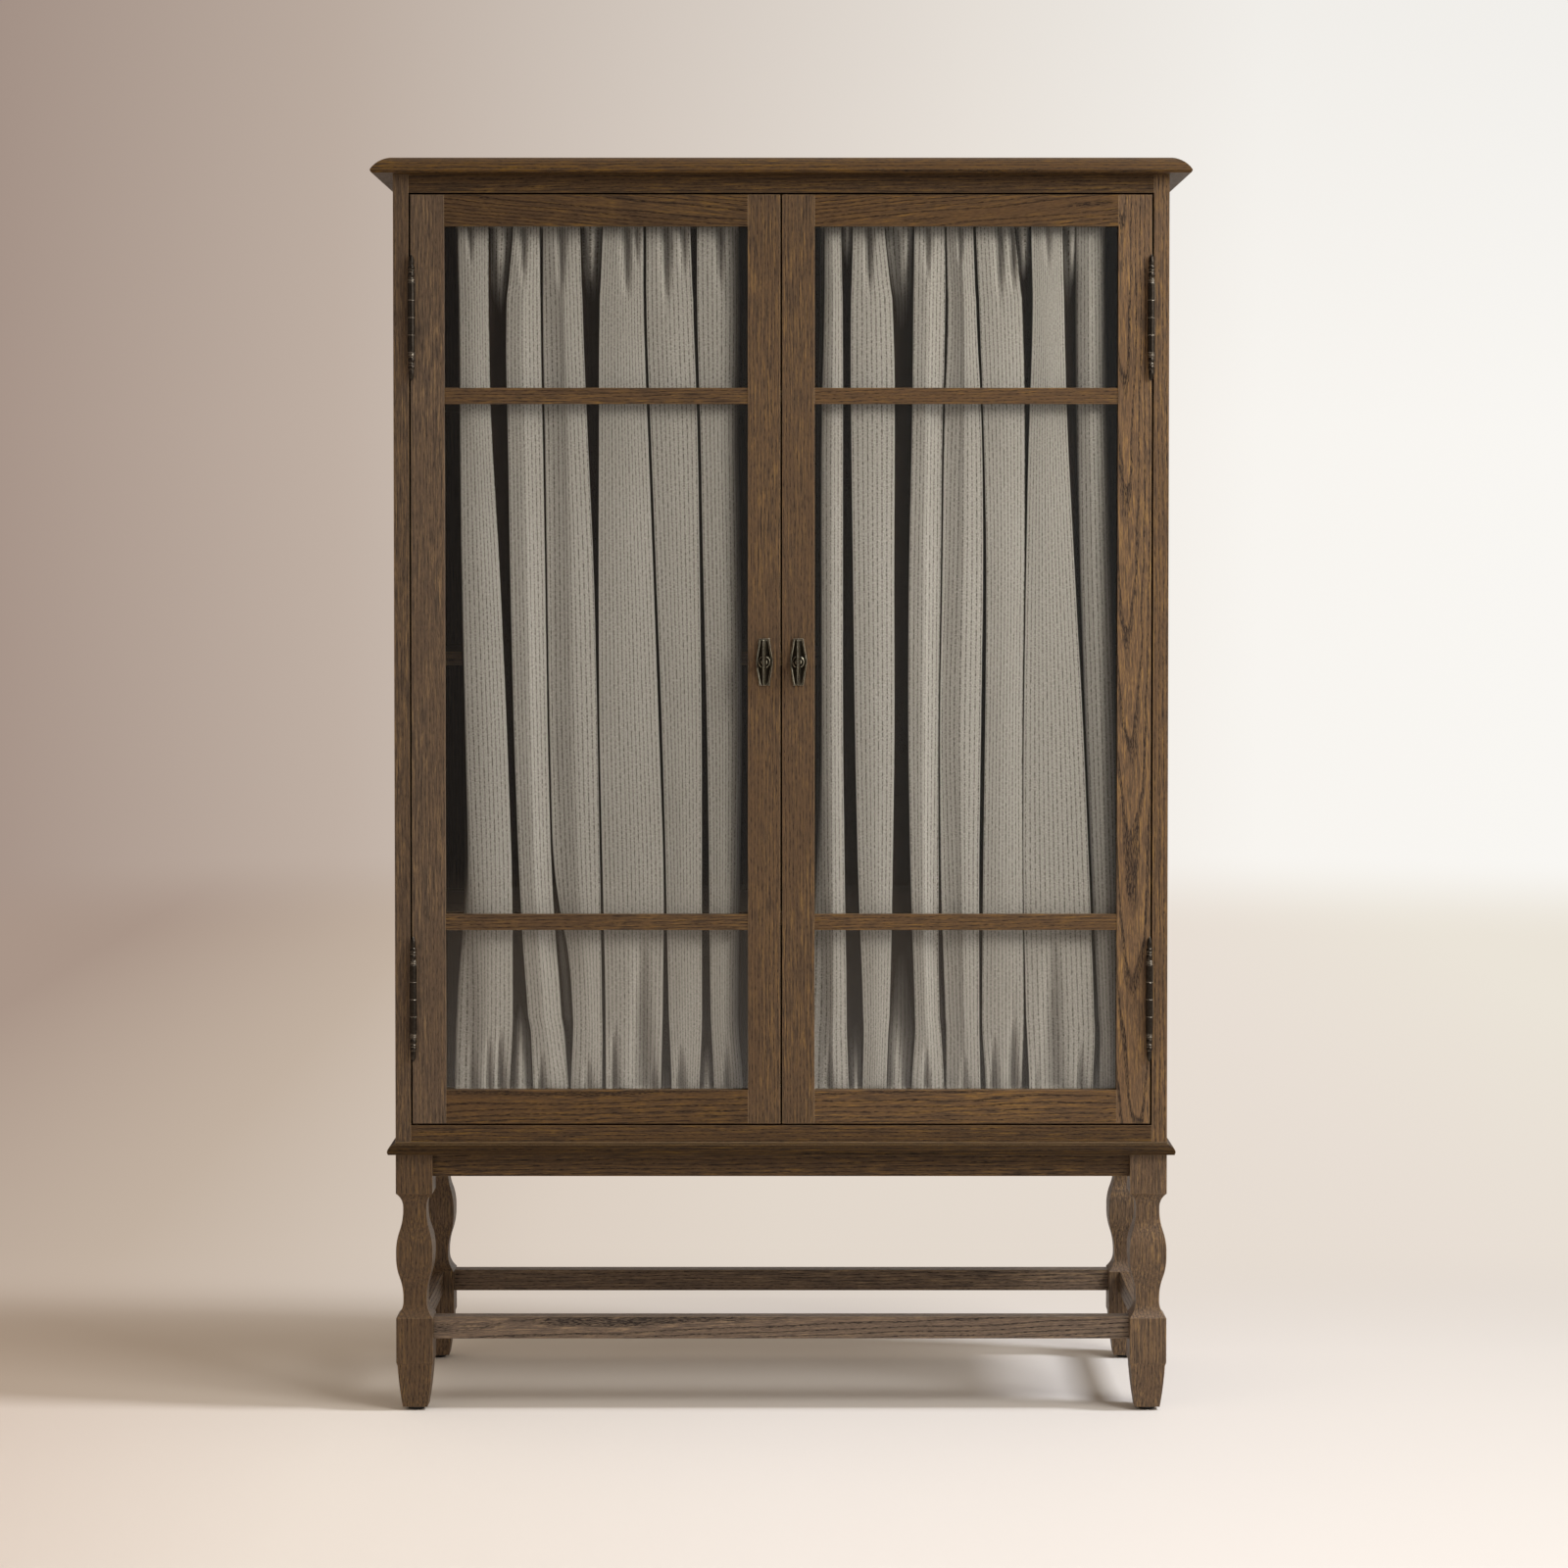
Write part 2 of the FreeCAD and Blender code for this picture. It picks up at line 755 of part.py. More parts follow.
def leaf(zone, first, inward):
    """Leaf with its knuckles, cut back around the other leaf's knuckles, bore and screw holes."""
    half_height = 2 * knuckle_height
    reach = barrel_radius + barrel_standoff + leaf_width
    plate = block(zone, (0, reach), grown((-half_height, half_height), -knuckle_gap / 2))
    for low, high in knuckle_spans(1 - first):
        room = rod(
            barrel_radius + leaf_sweep_clearance,
            Vector(0, 0, low - knuckle_gap / 2), Vector(0, 0, high - low + knuckle_gap),
        )
        plate = plate.cut(room)
    for low, high in knuckle_spans(first):
        barrel = rod(
            barrel_radius, Vector(0, 0, low + knuckle_gap / 2), Vector(0, 0, high - low - knuckle_gap)
        )
        plate = plate.fuse(barrel)
    bore = rod(pin_radius + pin_clearance, Vector(0, 0, -half_height), Vector(0, 0, 2 * half_height))
    plate = plate.cut(bore)
    for y, z in leaf_screw_places():
        plate = plate.cut(moved(leaf_screw(zone, inward, screw_clearance), 0, y, z))
    return plate.removeSplitter()


def leaf_screws(zone, inward):
    return [moved(leaf_screw(zone, inward, 0), 0, y, z) for y, z in leaf_screw_places()]


def finial(base, upward):
    """Turned finial: rings, a ball, beads and a bullet tip, from the base outward."""

    def at(radius_share, length_share):
        return Vector(barrel_radius * radius_share, 0, base + upward * finial_length * length_share)

    steps = []
    for low, high, swell in finial_beads_shares:
        steps.append((at(finial_neck_share, low),))
        steps.append((at(swell, (low + high) / 2), at(finial_neck_share, high)))
    steps.append((at(finial_neck_share, bullet_start_share),))
    steps.append((at(bullet_waist_shares[0], bullet_waist_shares[1]), at(bullet_tip_share, 1)))
    steps.append((at(0, 1),))
    steps = [step for index, step in enumerate(steps) if index == 0 or step[-1] != steps[index - 1][-1]]
    return Part.Face(outline(at(0, 0), steps)).revolve(Vector(0, 0, 0), Vector(0, 0, 1), 360)


def hinge_pin():
    """Pin with the upper finial on it, and the lower finial that closes it."""
    half_height = 2 * knuckle_height
    pin = rod(
        pin_radius, Vector(0, 0, -half_height - finial_socket), Vector(0, 0, 2 * half_height + finial_socket)
    )
    upper = pin.fuse(finial(half_height, 1)).removeSplitter()
    socket = rod(
        pin_radius + pin_clearance,
        Vector(0, 0, -half_height), Vector(0, 0, -finial_socket - joint_clearance),
    )
    return [upper, finial(-half_height, -1).cut(socket)]


def at_hinges(solids):
    """The solids at both hinges of the left door."""
    return [moved(solid, hinge_x, hinge_y, z) for z in hinge_heights for solid in solids]


def hinge_recesses(zone):
    """Tools for the leaf's seat and screw holes in the wood on the left side."""
    span = zone()
    inward = -1 if zone is frame_leaf_zone else 1
    half_height = 2 * knuckle_height
    seat = block(
        span, (0, barrel_radius + barrel_standoff + leaf_width), (-half_height, half_height)
    )
    screws = [moved(leaf_screw(span, inward, screw_clearance), 0, y, z) for y, z in leaf_screw_places()]
    return at_hinges([seat] + screws)


def make_hinges():
    frame_zone = frame_leaf_zone()
    door_zone = door_leaf_zone()
    frame_leaves = at_hinges([leaf(frame_zone, 0, -1)] + leaf_screws(frame_zone, -1))
    door_leaves = at_hinges([leaf(door_zone, 1, 1)] + leaf_screws(door_zone, 1))
    pins = at_hinges(hinge_pin())
    save("frame_hinge_leaves", frame_leaves + [mirror_x(solid) for solid in frame_leaves])
    save("hinge_pins", pins + [mirror_x(solid) for solid in pins])
    save_pair("door_hinge_leaves", door_leaves)


# Doors: the frame and its fittings are made for the left door and mirrored

def door_rail(z, tenon_z):
    """Rail between the stiles; its tenon keeps clear of the glass rebate."""
    body = ((-pane_outer, -pane_inner), (front, door_back), z)
    tenon_y = (door_back - shoulder - door_tenon_thickness, door_back - shoulder)
    return tenoned(body, (grown(body[0], door_tenon), tenon_y, tenon_z))


def muntin(low):
    """Glazing bar across the front of the glass, stub-tenoned into the stiles' lips."""
    z = (low, low + muntin_height)
    y = (front + muntin_recess, glass_front)
    body = ((-pane_outer, -pane_inner), y, z)
    tenon = (grown(body[0], muntin_tenon), grown(y, -muntin_shoulder), grown(z, -muntin_shoulder))
    return tenoned(body, tenon)


def glazing_rebate():
    return block(
        grown((-pane_outer, -pane_inner), rebate_width),
        (glass_front, door_back + overrun),
        grown((pane_bottom, pane_top), rebate_width),
    )


def glass_pane():
    reach = rebate_width - glass_play
    return block(
        grown((-pane_outer, -pane_inner), reach),
        (glass_front, glass_front + glass_thickness),
        grown((pane_bottom, pane_top), reach),
    )


def glass_beads():
    """Four beads behind the glass; the upright ones run between the level ones."""
    x = grown((-pane_outer, -pane_inner), rebate_width)
    z = grown((pane_bottom, pane_top), rebate_width)
    y = (glass_front + glass_thickness, glass_front + glass_thickness + bead_depth)
    inner_z = grown(z, -bead_width)
    return [
        block(x, y, (z[0], z[0] + bead_width)),
        block(x, y, (z[1] - bead_width, z[1])),
        block((x[0], x[0] + bead_width), y, inner_z),
        block((x[1] - bead_width, x[1]), y, inner_z),
    ]


def curtain_rods():
    """Two rods and the four brackets that hold their ends on the back of the stiles."""
    pieces = []
    bracket_x = ((-pane_outer - bracket_inset - bracket_width, -pane_outer - bracket_inset),
                 (-pane_inner + bracket_inset, -pane_inner + bracket_inset + bracket_width))
    rod_x = (bracket_x[0][0] + rod_end_play, bracket_x[1][1] - rod_end_play)
    for z in rod_heights:
        pieces.append(rod(rod_radius, Vector(rod_x[0], rod_y, z), Vector(rod_x[1] - rod_x[0], 0, 0)))
        for x in bracket_x:
            body = block(x, (door_back, rod_y + rod_radius + bracket_wall), grown((z, z), bracket_height / 2))
            bore_start = Vector(x[0] - overrun, rod_y, z)
            bore = rod(rod_radius + joint_clearance, bore_start, Vector(bracket_width + 2 * overrun, 0, 0))
            pieces.append(body.cut(bore))
    return pieces


def arc_rise(width, slope):
    """Height of an arc over its chord when it meets the chord at the slope."""
    return width / 2 * math.tan(math.radians(slope) / 2)


def cloth_face(edges, y, slope, z, offset):
    """One face of the folded cloth at one height: fronts bulge forward, creases back."""
    if not slope:
        points = [Vector(x, y - offset, z) for x in edges]
        return points[0], [(point,) for point in points[1:]]
    lean = math.sin(math.radians(slope)) * offset
    depth = math.cos(math.radians(slope)) * offset
    points = []
    for index, x in enumerate(edges):
        sideways = -lean if index % 2 == 0 else lean
        points.append(Vector(x + sideways, y - depth, z))
    steps = []
    for index in range(1, len(edges)):
        bulge = arc_rise(edges[index] - edges[index - 1], slope)
        forward = bulge if index % 2 == 1 else -bulge
        middle = Vector((edges[index] + edges[index - 1]) / 2, y - forward - offset, z)
        steps.append((middle, points[index]))
    return points[0], steps


def cloth_section(edges, y, slope, z):
    """Closed outline of the cloth's thickness at one height."""
    half = curtain_thickness / 2
    start, steps = cloth_face(edges, y, slope, z, half)
    back_start, back_steps = cloth_face(edges, y, slope, z, -half)
    front_edges = edges_through(start, steps)
    back_edges = edges_through(back_start, back_steps)
    closing = [Part.makeLine(start, back_start), Part.makeLine(steps[-1][-1], back_steps[-1][-1])]
    return Part.Wire(Part.sortEdges(front_edges + back_edges + closing)[0])


def fold_edges(shares, pane):
    """Edges of the folds' fronts along the pane, kept a little inside its ends."""
    low = pane[0] + curtain_edge_gap
    width = pane[1] - pane[0] - 2 * curtain_edge_gap
    return [low + width * share for fold in shares for share in fold]


def rod_pocket(edges, z, seam_z):
    """Tube of cloth round a rod, closed by a flat seam that the folds start from."""
    half = curtain_thickness / 2
    radius = rod_radius + pocket_play + pocket_wall
    side = math.copysign(1, seam_z - z)
    root_z = z + side * math.sqrt(radius ** 2 - half ** 2)
    x, width = edges[0], edges[-1] - edges[0]
    start = Vector(x, rod_y - half, seam_z)
    steps = [
        (Vector(x, rod_y - half, root_z),),
        (Vector(x, rod_y, z - side * radius), Vector(x, rod_y + half, root_z)),
        (Vector(x, rod_y + half, seam_z),),
    ]
    tube = prism(outline(start, steps), Vector(width, 0, 0))
    bore_start = Vector(x - overrun, rod_y, z)
    return tube.cut(rod(rod_radius + pocket_play, bore_start, Vector(width + 2 * overrun, 0, 0)))


def curtain(top_shares, low_shares, pane):
    """Cloth gathered on two rods: a folded sheet with a rod pocket along each end."""
    top_edges = fold_edges(top_shares, pane)
    low_edges = fold_edges(low_shares, pane)
    seam = rod_radius + pocket_play + 2 * pocket_wall
    bottom, top = rod_heights[0] + seam, rod_heights[1] - seam
    gather_y = door_back + gather_setback
    fold_y = door_back + curtain_setback
    turn = bottom + (top - bottom) * fold_turn_share
    sections = [
        cloth_section(top_edges, rod_y, 0, top),
        cloth_section(top_edges, gather_y, gather_slope, top - gather_height),
        cloth_section(top_edges, fold_y, fold_slope, top - fold_start),
        cloth_section(low_edges, fold_y, fold_slope, turn),
        cloth_section(low_edges, fold_y, fold_slope, bottom + fold_end),
        cloth_section(low_edges, gather_y, gather_slope, bottom + gather_height),
        cloth_section(low_edges, rod_y, 0, bottom),
    ]
    cloth = Part.makeLoft(sections, True, True)
    cloth = cloth.fuse(rod_pocket(low_edges, rod_heights[0], bottom))
    return cloth.fuse(rod_pocket(top_edges, rod_heights[1], top))


def plate_outline(y):
    """Lozenge plate with cut ends, about the pull's centre."""
    long = plate_length / 2
    wide = plate_width / 2
    end = plate_end_width / 2
    waist = plate_waist / 2
    points = (
        (-end, long), (end, long), (wide, waist), (wide, -waist),
        (end, -long), (-end, -long), (-wide, -waist), (-wide, waist),
    )
    corners = [Vector(x, y, z) for x, z in points]
    return Part.makePolygon(corners + corners[:1])


def pull_plate():
    """Back plate with a raised rim and a round boss, bored for the screw."""
    plate = prism(plate_outline(0), Vector(0, -plate_thickness, 0))
    floor_y = plate_rim_rise - plate_thickness
    inner = plate_outline(floor_y).makeOffset2D(-plate_rim)
    plate = plate.cut(prism(inner, Vector(0, -plate_rim_rise - overrun, 0)))
    boss = rod(boss_radius, Vector(0, floor_y, 0), Vector(0, -boss_height, 0))
    hole = rod(
        pull_screw_radius + pull_screw_clearance,
        Vector(0, overrun, 0), Vector(0, -plate_thickness - boss_height - 2 * overrun, 0),
    )
    return plate.fuse(boss).removeSplitter().cut(hole)


def pull_bar():
    """Upright bar with a groove down its front, on its stem."""
    boss_face = plate_rim_rise - plate_thickness - boss_height
    y = (-pull_projection, -pull_projection + bar_depth)
    bar = block(grown((0, 0), bar_width / 2), y, grown((0, 0), bar_length / 2))
    bar = bar.makeFillet(bar_rounding, bar.Edges)
    groove = block(
        grown((0, 0), bar_groove_width / 2), (y[0] - overrun, y[0] + bar_groove_depth),
        grown((0, 0), bar_length / 2 + overrun),
    )
    stem_end = y[1] - bar_depth / 2
    stem = rod(stem_radius, Vector(0, boss_face, 0), Vector(0, stem_end - boss_face, 0))
    tapped = rod(
        pull_screw_radius + screw_clearance, Vector(0, boss_face, 0), Vector(0, -pull_screw_grip, 0)
    )
    return bar.cut(groove).fuse(stem).removeSplitter().cut(tapped)


def pull_screw():
    """Screw from the back of the stile, through the plate and into the stem."""
    boss_face = plate_rim_rise - plate_thickness - boss_height
    tip = boss_face - pull_screw_grip + joint_clearance
    shank = rod(pull_screw_radius, Vector(0, door_thickness, 0), Vector(0, tip - door_thickness, 0))
    head = rod(pull_screw_head, Vector(0, door_thickness, 0), Vector(0, pull_screw_head_height, 0))
    return shank.fuse(head).removeSplitter()


def make_door_frame():
    """Stiles, rails, glazing bars, glass and beads."""
    rail_clear = rebate_width + joint_clearance + shoulder / 2
    top_rail, top_tool = door_rail((pane_top, door_top), (pane_top + rail_clear, door_top - shoulder))
    bottom_rail, bottom_tool = door_rail(
        (door_bottom, pane_bottom), (door_bottom + shoulder, pane_bottom - rail_clear)
    )
    bars = [muntin(low) for low in muntin_heights]
    rebate = glazing_rebate()
    z = (door_bottom, door_top)
    hinge_stile = block((-door_outer, -pane_outer), (front, door_back), z)
    lock_stile = block((-pane_inner, -door_inner), (front, door_back), z)
    for tool in [top_tool, bottom_tool, rebate] + [tool for bar, tool in bars]:
        hinge_stile = hinge_stile.cut(tool)
        lock_stile = lock_stile.cut(tool)
    for tool in hinge_recesses(door_leaf_zone):
        hinge_stile = hinge_stile.cut(tool)
    screw_hole = rod(
        pull_screw_radius + pull_screw_clearance,
        Vector(pull_x, front - overrun, pull_height), Vector(0, door_thickness + 2 * overrun, 0),
    )
    save_pair("door_hinge_stile", [hinge_stile])
    save_pair("door_lock_stile", [lock_stile.cut(screw_hole)])
    save_pair("door_top_rail", [top_rail.cut(rebate)])
    save_pair("door_bottom_rail", [bottom_rail.cut(rebate)])
    save_pair("door_muntins", [bar for bar, tool in bars])
    save_pair("door_glass", [glass_pane()])
    save_pair("door_glass_beads", glass_beads())


def make_door_fittings():
    """Pull, strike plate, curtain rods and curtain."""
    pull = [moved(solid, pull_x, front, pull_height) for solid in (pull_plate(), pull_bar(), pull_screw())]
    strike_x = -(door_inner + strike_inset)
    strike = block(
        grown((strike_x, strike_x), strike_width / 2),
        (door_back, door_back + strike_thickness),
        (door_top - strike_height, door_top),
    )
    save_pair("door_pull", pull)
    save_pair("door_strike_plate", [strike])
    save_pair("door_curtain_rods", curtain_rods())
    left_pane = (-pane_outer, -pane_inner)
    right_pane = (pane_inner, pane_outer)
    save("left_door_curtain", [curtain(left_top_folds_shares, left_low_folds_shares, left_pane)])
    save("right_door_curtain", [curtain(right_top_folds_shares, right_low_folds_shares, right_pane)])


os.makedirs("parts", exist_ok=True)
make_stand()
make_case()
make_hinges()
make_door_frame()
make_door_fittings()
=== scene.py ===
import math

import bpy
import bmesh
import numpy as np
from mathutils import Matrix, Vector


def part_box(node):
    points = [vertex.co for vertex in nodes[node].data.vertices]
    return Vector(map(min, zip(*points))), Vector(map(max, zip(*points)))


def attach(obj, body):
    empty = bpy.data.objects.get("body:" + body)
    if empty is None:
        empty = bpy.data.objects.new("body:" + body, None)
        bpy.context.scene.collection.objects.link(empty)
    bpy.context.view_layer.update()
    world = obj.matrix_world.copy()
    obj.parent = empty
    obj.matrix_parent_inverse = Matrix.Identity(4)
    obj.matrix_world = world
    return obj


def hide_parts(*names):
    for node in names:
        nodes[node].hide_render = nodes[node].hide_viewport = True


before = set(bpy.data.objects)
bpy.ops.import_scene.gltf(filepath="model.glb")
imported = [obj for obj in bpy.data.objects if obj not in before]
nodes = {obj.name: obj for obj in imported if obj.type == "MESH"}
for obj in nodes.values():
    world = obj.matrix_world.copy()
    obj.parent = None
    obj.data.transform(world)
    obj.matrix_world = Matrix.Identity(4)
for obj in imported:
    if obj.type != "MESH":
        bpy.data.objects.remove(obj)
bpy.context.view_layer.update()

print("frame loaded:", len(nodes), "pieces")

# Camera at the photograph's place: in front, at chest height, with a long lens
view = {
    "place": (0.0033, -5.9444, 1.3034),  # metres
    "pitch": -1.6915,  # degrees, minus looks down
    "yaw": -0.008,
    "lens": 88.257,  # mm
    "shiftY": -0.08,
    "reach": 60,  # metres that it sees
}
camera = bpy.data.objects.new("camera", bpy.data.cameras.new("camera"))
camera.location = view["place"]
camera.rotation_euler = (math.radians(90 + view["pitch"]), 0, math.radians(view["yaw"]))
camera.data.lens = view["lens"]
camera.data.shift_y = view["shiftY"]
camera.data.clip_end = view["reach"]
bpy.context.scene.collection.objects.link(camera)
bpy.context.scene.camera = camera
bpy.context.scene.view_settings.view_transform = "Standard"
print("camera set")


def linear(colour):  # sRGB hex to linear RGBA
    shares = [int(colour[i:i + 2], 16) / 255 for i in (1, 3, 5)]
    return tuple(s / 12.92 if s <= 0.04045 else ((s + 0.055) / 1.055) ** 2.4
                 for s in shares) + (1.0,)


def addNode(tree, kind, settings=None, links=None):
    # settings: values of its sockets or properties, or the stops of a ramp; links: socket to source
    node = tree.nodes.new(kind)
    for key, value in (settings or {}).items():
        if key == "stops":
            ramp = node.color_ramp.elements
            while len(ramp) < len(value):
                ramp.new(0.5)
            for element, (place, colour) in zip(ramp, value):
                element.position = place
                if isinstance(colour, str):
                    colour = linear(colour)
                grey = not isinstance(colour, tuple)
                element.color = (colour, colour, colour, 1) if grey else colour
        elif isinstance(key, int) or key in node.inputs:
            node.inputs[key].default_value = value
        else:
            setattr(node, key, value)
    for socket, source in (links or {}).items():
        tree.links.new(source, node.inputs[socket])
    return node


def newMaterial(name):
    material = bpy.data.materials.new(name)
    material.use_nodes = True
    tree = material.node_tree
    tree.nodes.clear()
    return material, tree


def finishNode(nodeName, material):
    data = nodes[nodeName].data
    data.materials.clear()
    data.materials.append(material)


def rubbedAndHighlitEdges(tree, radius, turned, most):  # normal softened over the radius, mm, and a mask of the edges drawn lighter: wear, and a painted highlight
    soft = addNode(tree, "ShaderNodeBevel", {"samples": 4, "Radius": radius / 1000})
    flat = addNode(tree, "ShaderNodeNewGeometry")
    turn = addNode(tree, "ShaderNodeVectorMath", {"operation": "DOT_PRODUCT"},
                   {0: soft.outputs[0], 1: flat.outputs["Normal"]})
    rubbedAndHighlit = addNode(tree, "ShaderNodeMapRange", {
        "From Min": turned[0], "From Max": turned[1], "To Max": most},
        {"Value": turn.outputs["Value"]})
    return soft.outputs[0], rubbedAndHighlit.outputs[0]


# Oak, sawn and planed, stained dark brown and waxed: open pores and early wood stay dark, the
# streaks between them go from grey to a rubbed orange brown, and the wax gives a low, wide sheen
oak = {
    "ringGap": 5.2,  # mm from one growth ring to the next
    "ringWander": 4.5,  # mm that a ring strays from a circle
    "marks": {  # width and length in mm, noise detail and roughness
        "wander": (45.0, 220.0, 2.0, 0.55),
        "pore": (0.9, 9.0, 2.0, 0.6),  # a real one is 0.3 wide, drawn coarser to show from here
        "streak": (1.8, 38.0, 2.5, 0.6),
        "patch": (30.0, 260.0, 2.0, 0.5),
    },
    "early": [(0.0, 0.15), (0.06, 1.0), (0.20, 0.75), (0.36, 0.08), (1.0, 0.0)],  # over one ring
    "poreCut": (0.46, 0.62),  # noise where a pore begins and where it is full
    "patchCut": (0.42, 0.66), "patchMost": 0.7,
    "poreBetween": 0.34,  # strength of the pores between the rings' early wood
    "ringDark": 0.5,  # how far early wood darkens without a pore
    "tones": [(0.30, "#433527"), (0.43, "#5f4b37"), (0.54, "#72583c"), (0.68, "#90703f")],
    "brown": "#674f37",
    "dark": "#251b14",
    # the edges' lighter colour: rubbed stain, and a painted highlight along the arrises
    "wornAndHighlit": "#a08766",
    "arris": 1.3,  # mm, the worn edge, drawn lighter by wear and by a painted highlight
    "arrisTurn": (0.995, 0.90),  # cosine of the turn where the lighter edge begins and where it is full
    "wearAndHighlight": 0.45, "handledAndHighlit": 0.85,  # on most boards, and on the stiles that hands hold, where a stronger painted highlight also runs along the inner arrises
    "relief": 0.6, "poreDepth": 0.4,  # mm
    "roughness": (0.45, 0.68),  # of the wax, and in the pores
    "ior": 1.48, "specular": 0.28,
    "seedSteps": (0.37, 0.73, 1.91), "boardStep": 1.7,  # so that no two boards share a pattern
}


def toned(colour, light, grey):  # how dark and how grey one board is drawn: its stain, and on some boards painted shade, light or sheen
    parts = linear(colour)[:3]
    middle = 0.2126 * parts[0] + 0.7152 * parts[1] + 0.0722 * parts[2]
    return tuple(light * (part + grey * (middle - part)) for part in parts) + (1.0,)


def stainedOak(name, grain, centre, pith, tilt, seed, light, grey, figure, wornAndHighlit):
    # grain: the axis along the board; pith: mm from the board's centre to the tree's heart,
    # across its width and its depth; tilt: degrees between the board and the tree;
    # figure: how strongly its growth rings show; and last, how far its edges are lightened, by
    # stain rubbed off and by a painted highlight
    # light and grey: how bright and how grey the board is drawn, which on some boards is painted
    # shade, light or sheen
    material, tree = newMaterial(name)
    turns = {
        "z": (math.radians(tilt[0]), math.radians(tilt[1]), 0),
        "x": (math.radians(tilt[0]), math.radians(-90 + tilt[1]), 0),
        "y": (math.radians(90 + tilt[0]), math.radians(tilt[1]), 0),
    }[grain]
    place = addNode(tree, "ShaderNodeTexCoord").outputs["Object"]
    local = addNode(tree, "ShaderNodeVectorMath", {"operation": "SUBTRACT", 1: centre}, {0: place})
    turned = addNode(tree, "ShaderNodeMapping", {
        "Rotation": turns, "Location": (pith[0] / 1000, pith[1] / 1000, 0.0)},
        {"Vector": local.outputs[0]})
    shifted = addNode(tree, "ShaderNodeVectorMath", {
        "operation": "ADD", 1: tuple(seed * step for step in oak["seedSteps"])},
        {0: turned.outputs[0]})
    noise = {}
    for mark, (width, length, detail, roughness) in oak["marks"].items():
        stretched = addNode(tree, "ShaderNodeVectorMath", {
            "operation": "MULTIPLY", 1: (1000 / width, 1000 / width, 1000 / length)},
            {0: shifted.outputs[0]})
        noise[mark] = addNode(tree, "ShaderNodeTexNoise", {
            "Scale": 1.0, "Detail": detail, "Roughness": roughness},
            {"Vector": stretched.outputs[0]}).outputs

    # growth rings round the tree's heart; a wave texture's bands are pi / (10 * scale) apart
    stray = oak["ringWander"] / 1000
    push = addNode(tree, "ShaderNodeVectorMath", {
        "operation": "MULTIPLY_ADD", 1: (2 * stray, 2 * stray, 0), 2: (-stray, -stray, 0)},
        {0: noise["wander"]["Color"]})
    bent = addNode(tree, "ShaderNodeVectorMath", {"operation": "ADD"},
                   {0: turned.outputs[0], 1: push.outputs[0]})
    rings = addNode(tree, "ShaderNodeTexWave", {
        "wave_type": "RINGS", "rings_direction": "Z", "wave_profile": "SAW",
        "Scale": math.pi / (10 * oak["ringGap"] / 1000), "Distortion": 0.0, "Phase Offset": seed},
        {"Vector": bent.outputs[0]})
    early = addNode(tree, "ShaderNodeValToRGB", {"stops": oak["early"]},
                    {"Fac": rings.outputs["Fac"]})
    pores = addNode(tree, "ShaderNodeMapRange", {
        "From Min": oak["poreCut"][0], "From Max": oak["poreCut"][1]},
        {"Value": noise["pore"]["Fac"]})

    # the stain: streaks, mellowed in patches
    stops = [(at, toned(colour, light, grey)) for at, colour in oak["tones"]]
    streaks = addNode(tree, "ShaderNodeValToRGB", {"stops": stops},
                      {"Fac": noise["streak"]["Fac"]})
    patches = addNode(tree, "ShaderNodeMapRange", {
        "From Min": oak["patchCut"][0], "From Max": oak["patchCut"][1],
        "To Max": oak["patchMost"]}, {"Value": noise["patch"]["Fac"]})
    mellow = addNode(tree, "ShaderNodeMix", {
        "data_type": "RGBA", 7: toned(oak["brown"], light, grey)},
        {0: patches.outputs[0], 6: streaks.outputs["Color"]})
    # pores lie thick in each ring's early wood and thin between
    depth = addNode(tree, "ShaderNodeMath", {
        "operation": "MULTIPLY_ADD", 1: figure, 2: oak["poreBetween"]},
        {0: early.outputs["Color"]})
    cut = addNode(tree, "ShaderNodeMath", {"operation": "MULTIPLY"},
                  {0: depth.outputs[0], 1: pores.outputs[0]})
    line = addNode(tree, "ShaderNodeMath", {
        "operation": "MULTIPLY_ADD", 1: oak["ringDark"] * figure, "use_clamp": True},
        {0: early.outputs["Color"], 2: cut.outputs[0]})
    grained = addNode(tree, "ShaderNodeMix", {
        "data_type": "RGBA", 7: toned(oak["dark"], light, grey)},
        {0: line.outputs[0], 6: mellow.outputs[2]})

    soft, rubbedAndHighlit = rubbedAndHighlitEdges(tree, oak["arris"], oak["arrisTurn"], wornAndHighlit)
    edged = addNode(tree, "ShaderNodeMix", {"data_type": "RGBA", 7: linear(oak["wornAndHighlit"])},
                    {0: rubbedAndHighlit, 6: grained.outputs[2]})
    relief = addNode(tree, "ShaderNodeBump", {
        "Strength": oak["relief"], "Distance": oak["poreDepth"] / 1000, "invert": True},
        {"Height": line.outputs[0], "Normal": soft})
    sheen = addNode(tree, "ShaderNodeMapRange", {
        "To Min": oak["roughness"][0], "To Max": oak["roughness"][1]}, {"Value": line.outputs[0]})
    shader = addNode(tree, "ShaderNodeBsdfPrincipled", {
        "IOR": oak["ior"], "Specular IOR Level": oak["specular"] * min(light, 1.0)}, {
        "Base Color": edged.outputs[2], "Roughness": sheen.outputs[0], "Normal": relief.outputs[0]})
    addNode(tree, "ShaderNodeOutputMaterial", {}, {"Surface": shader.outputs[0]})
    return material
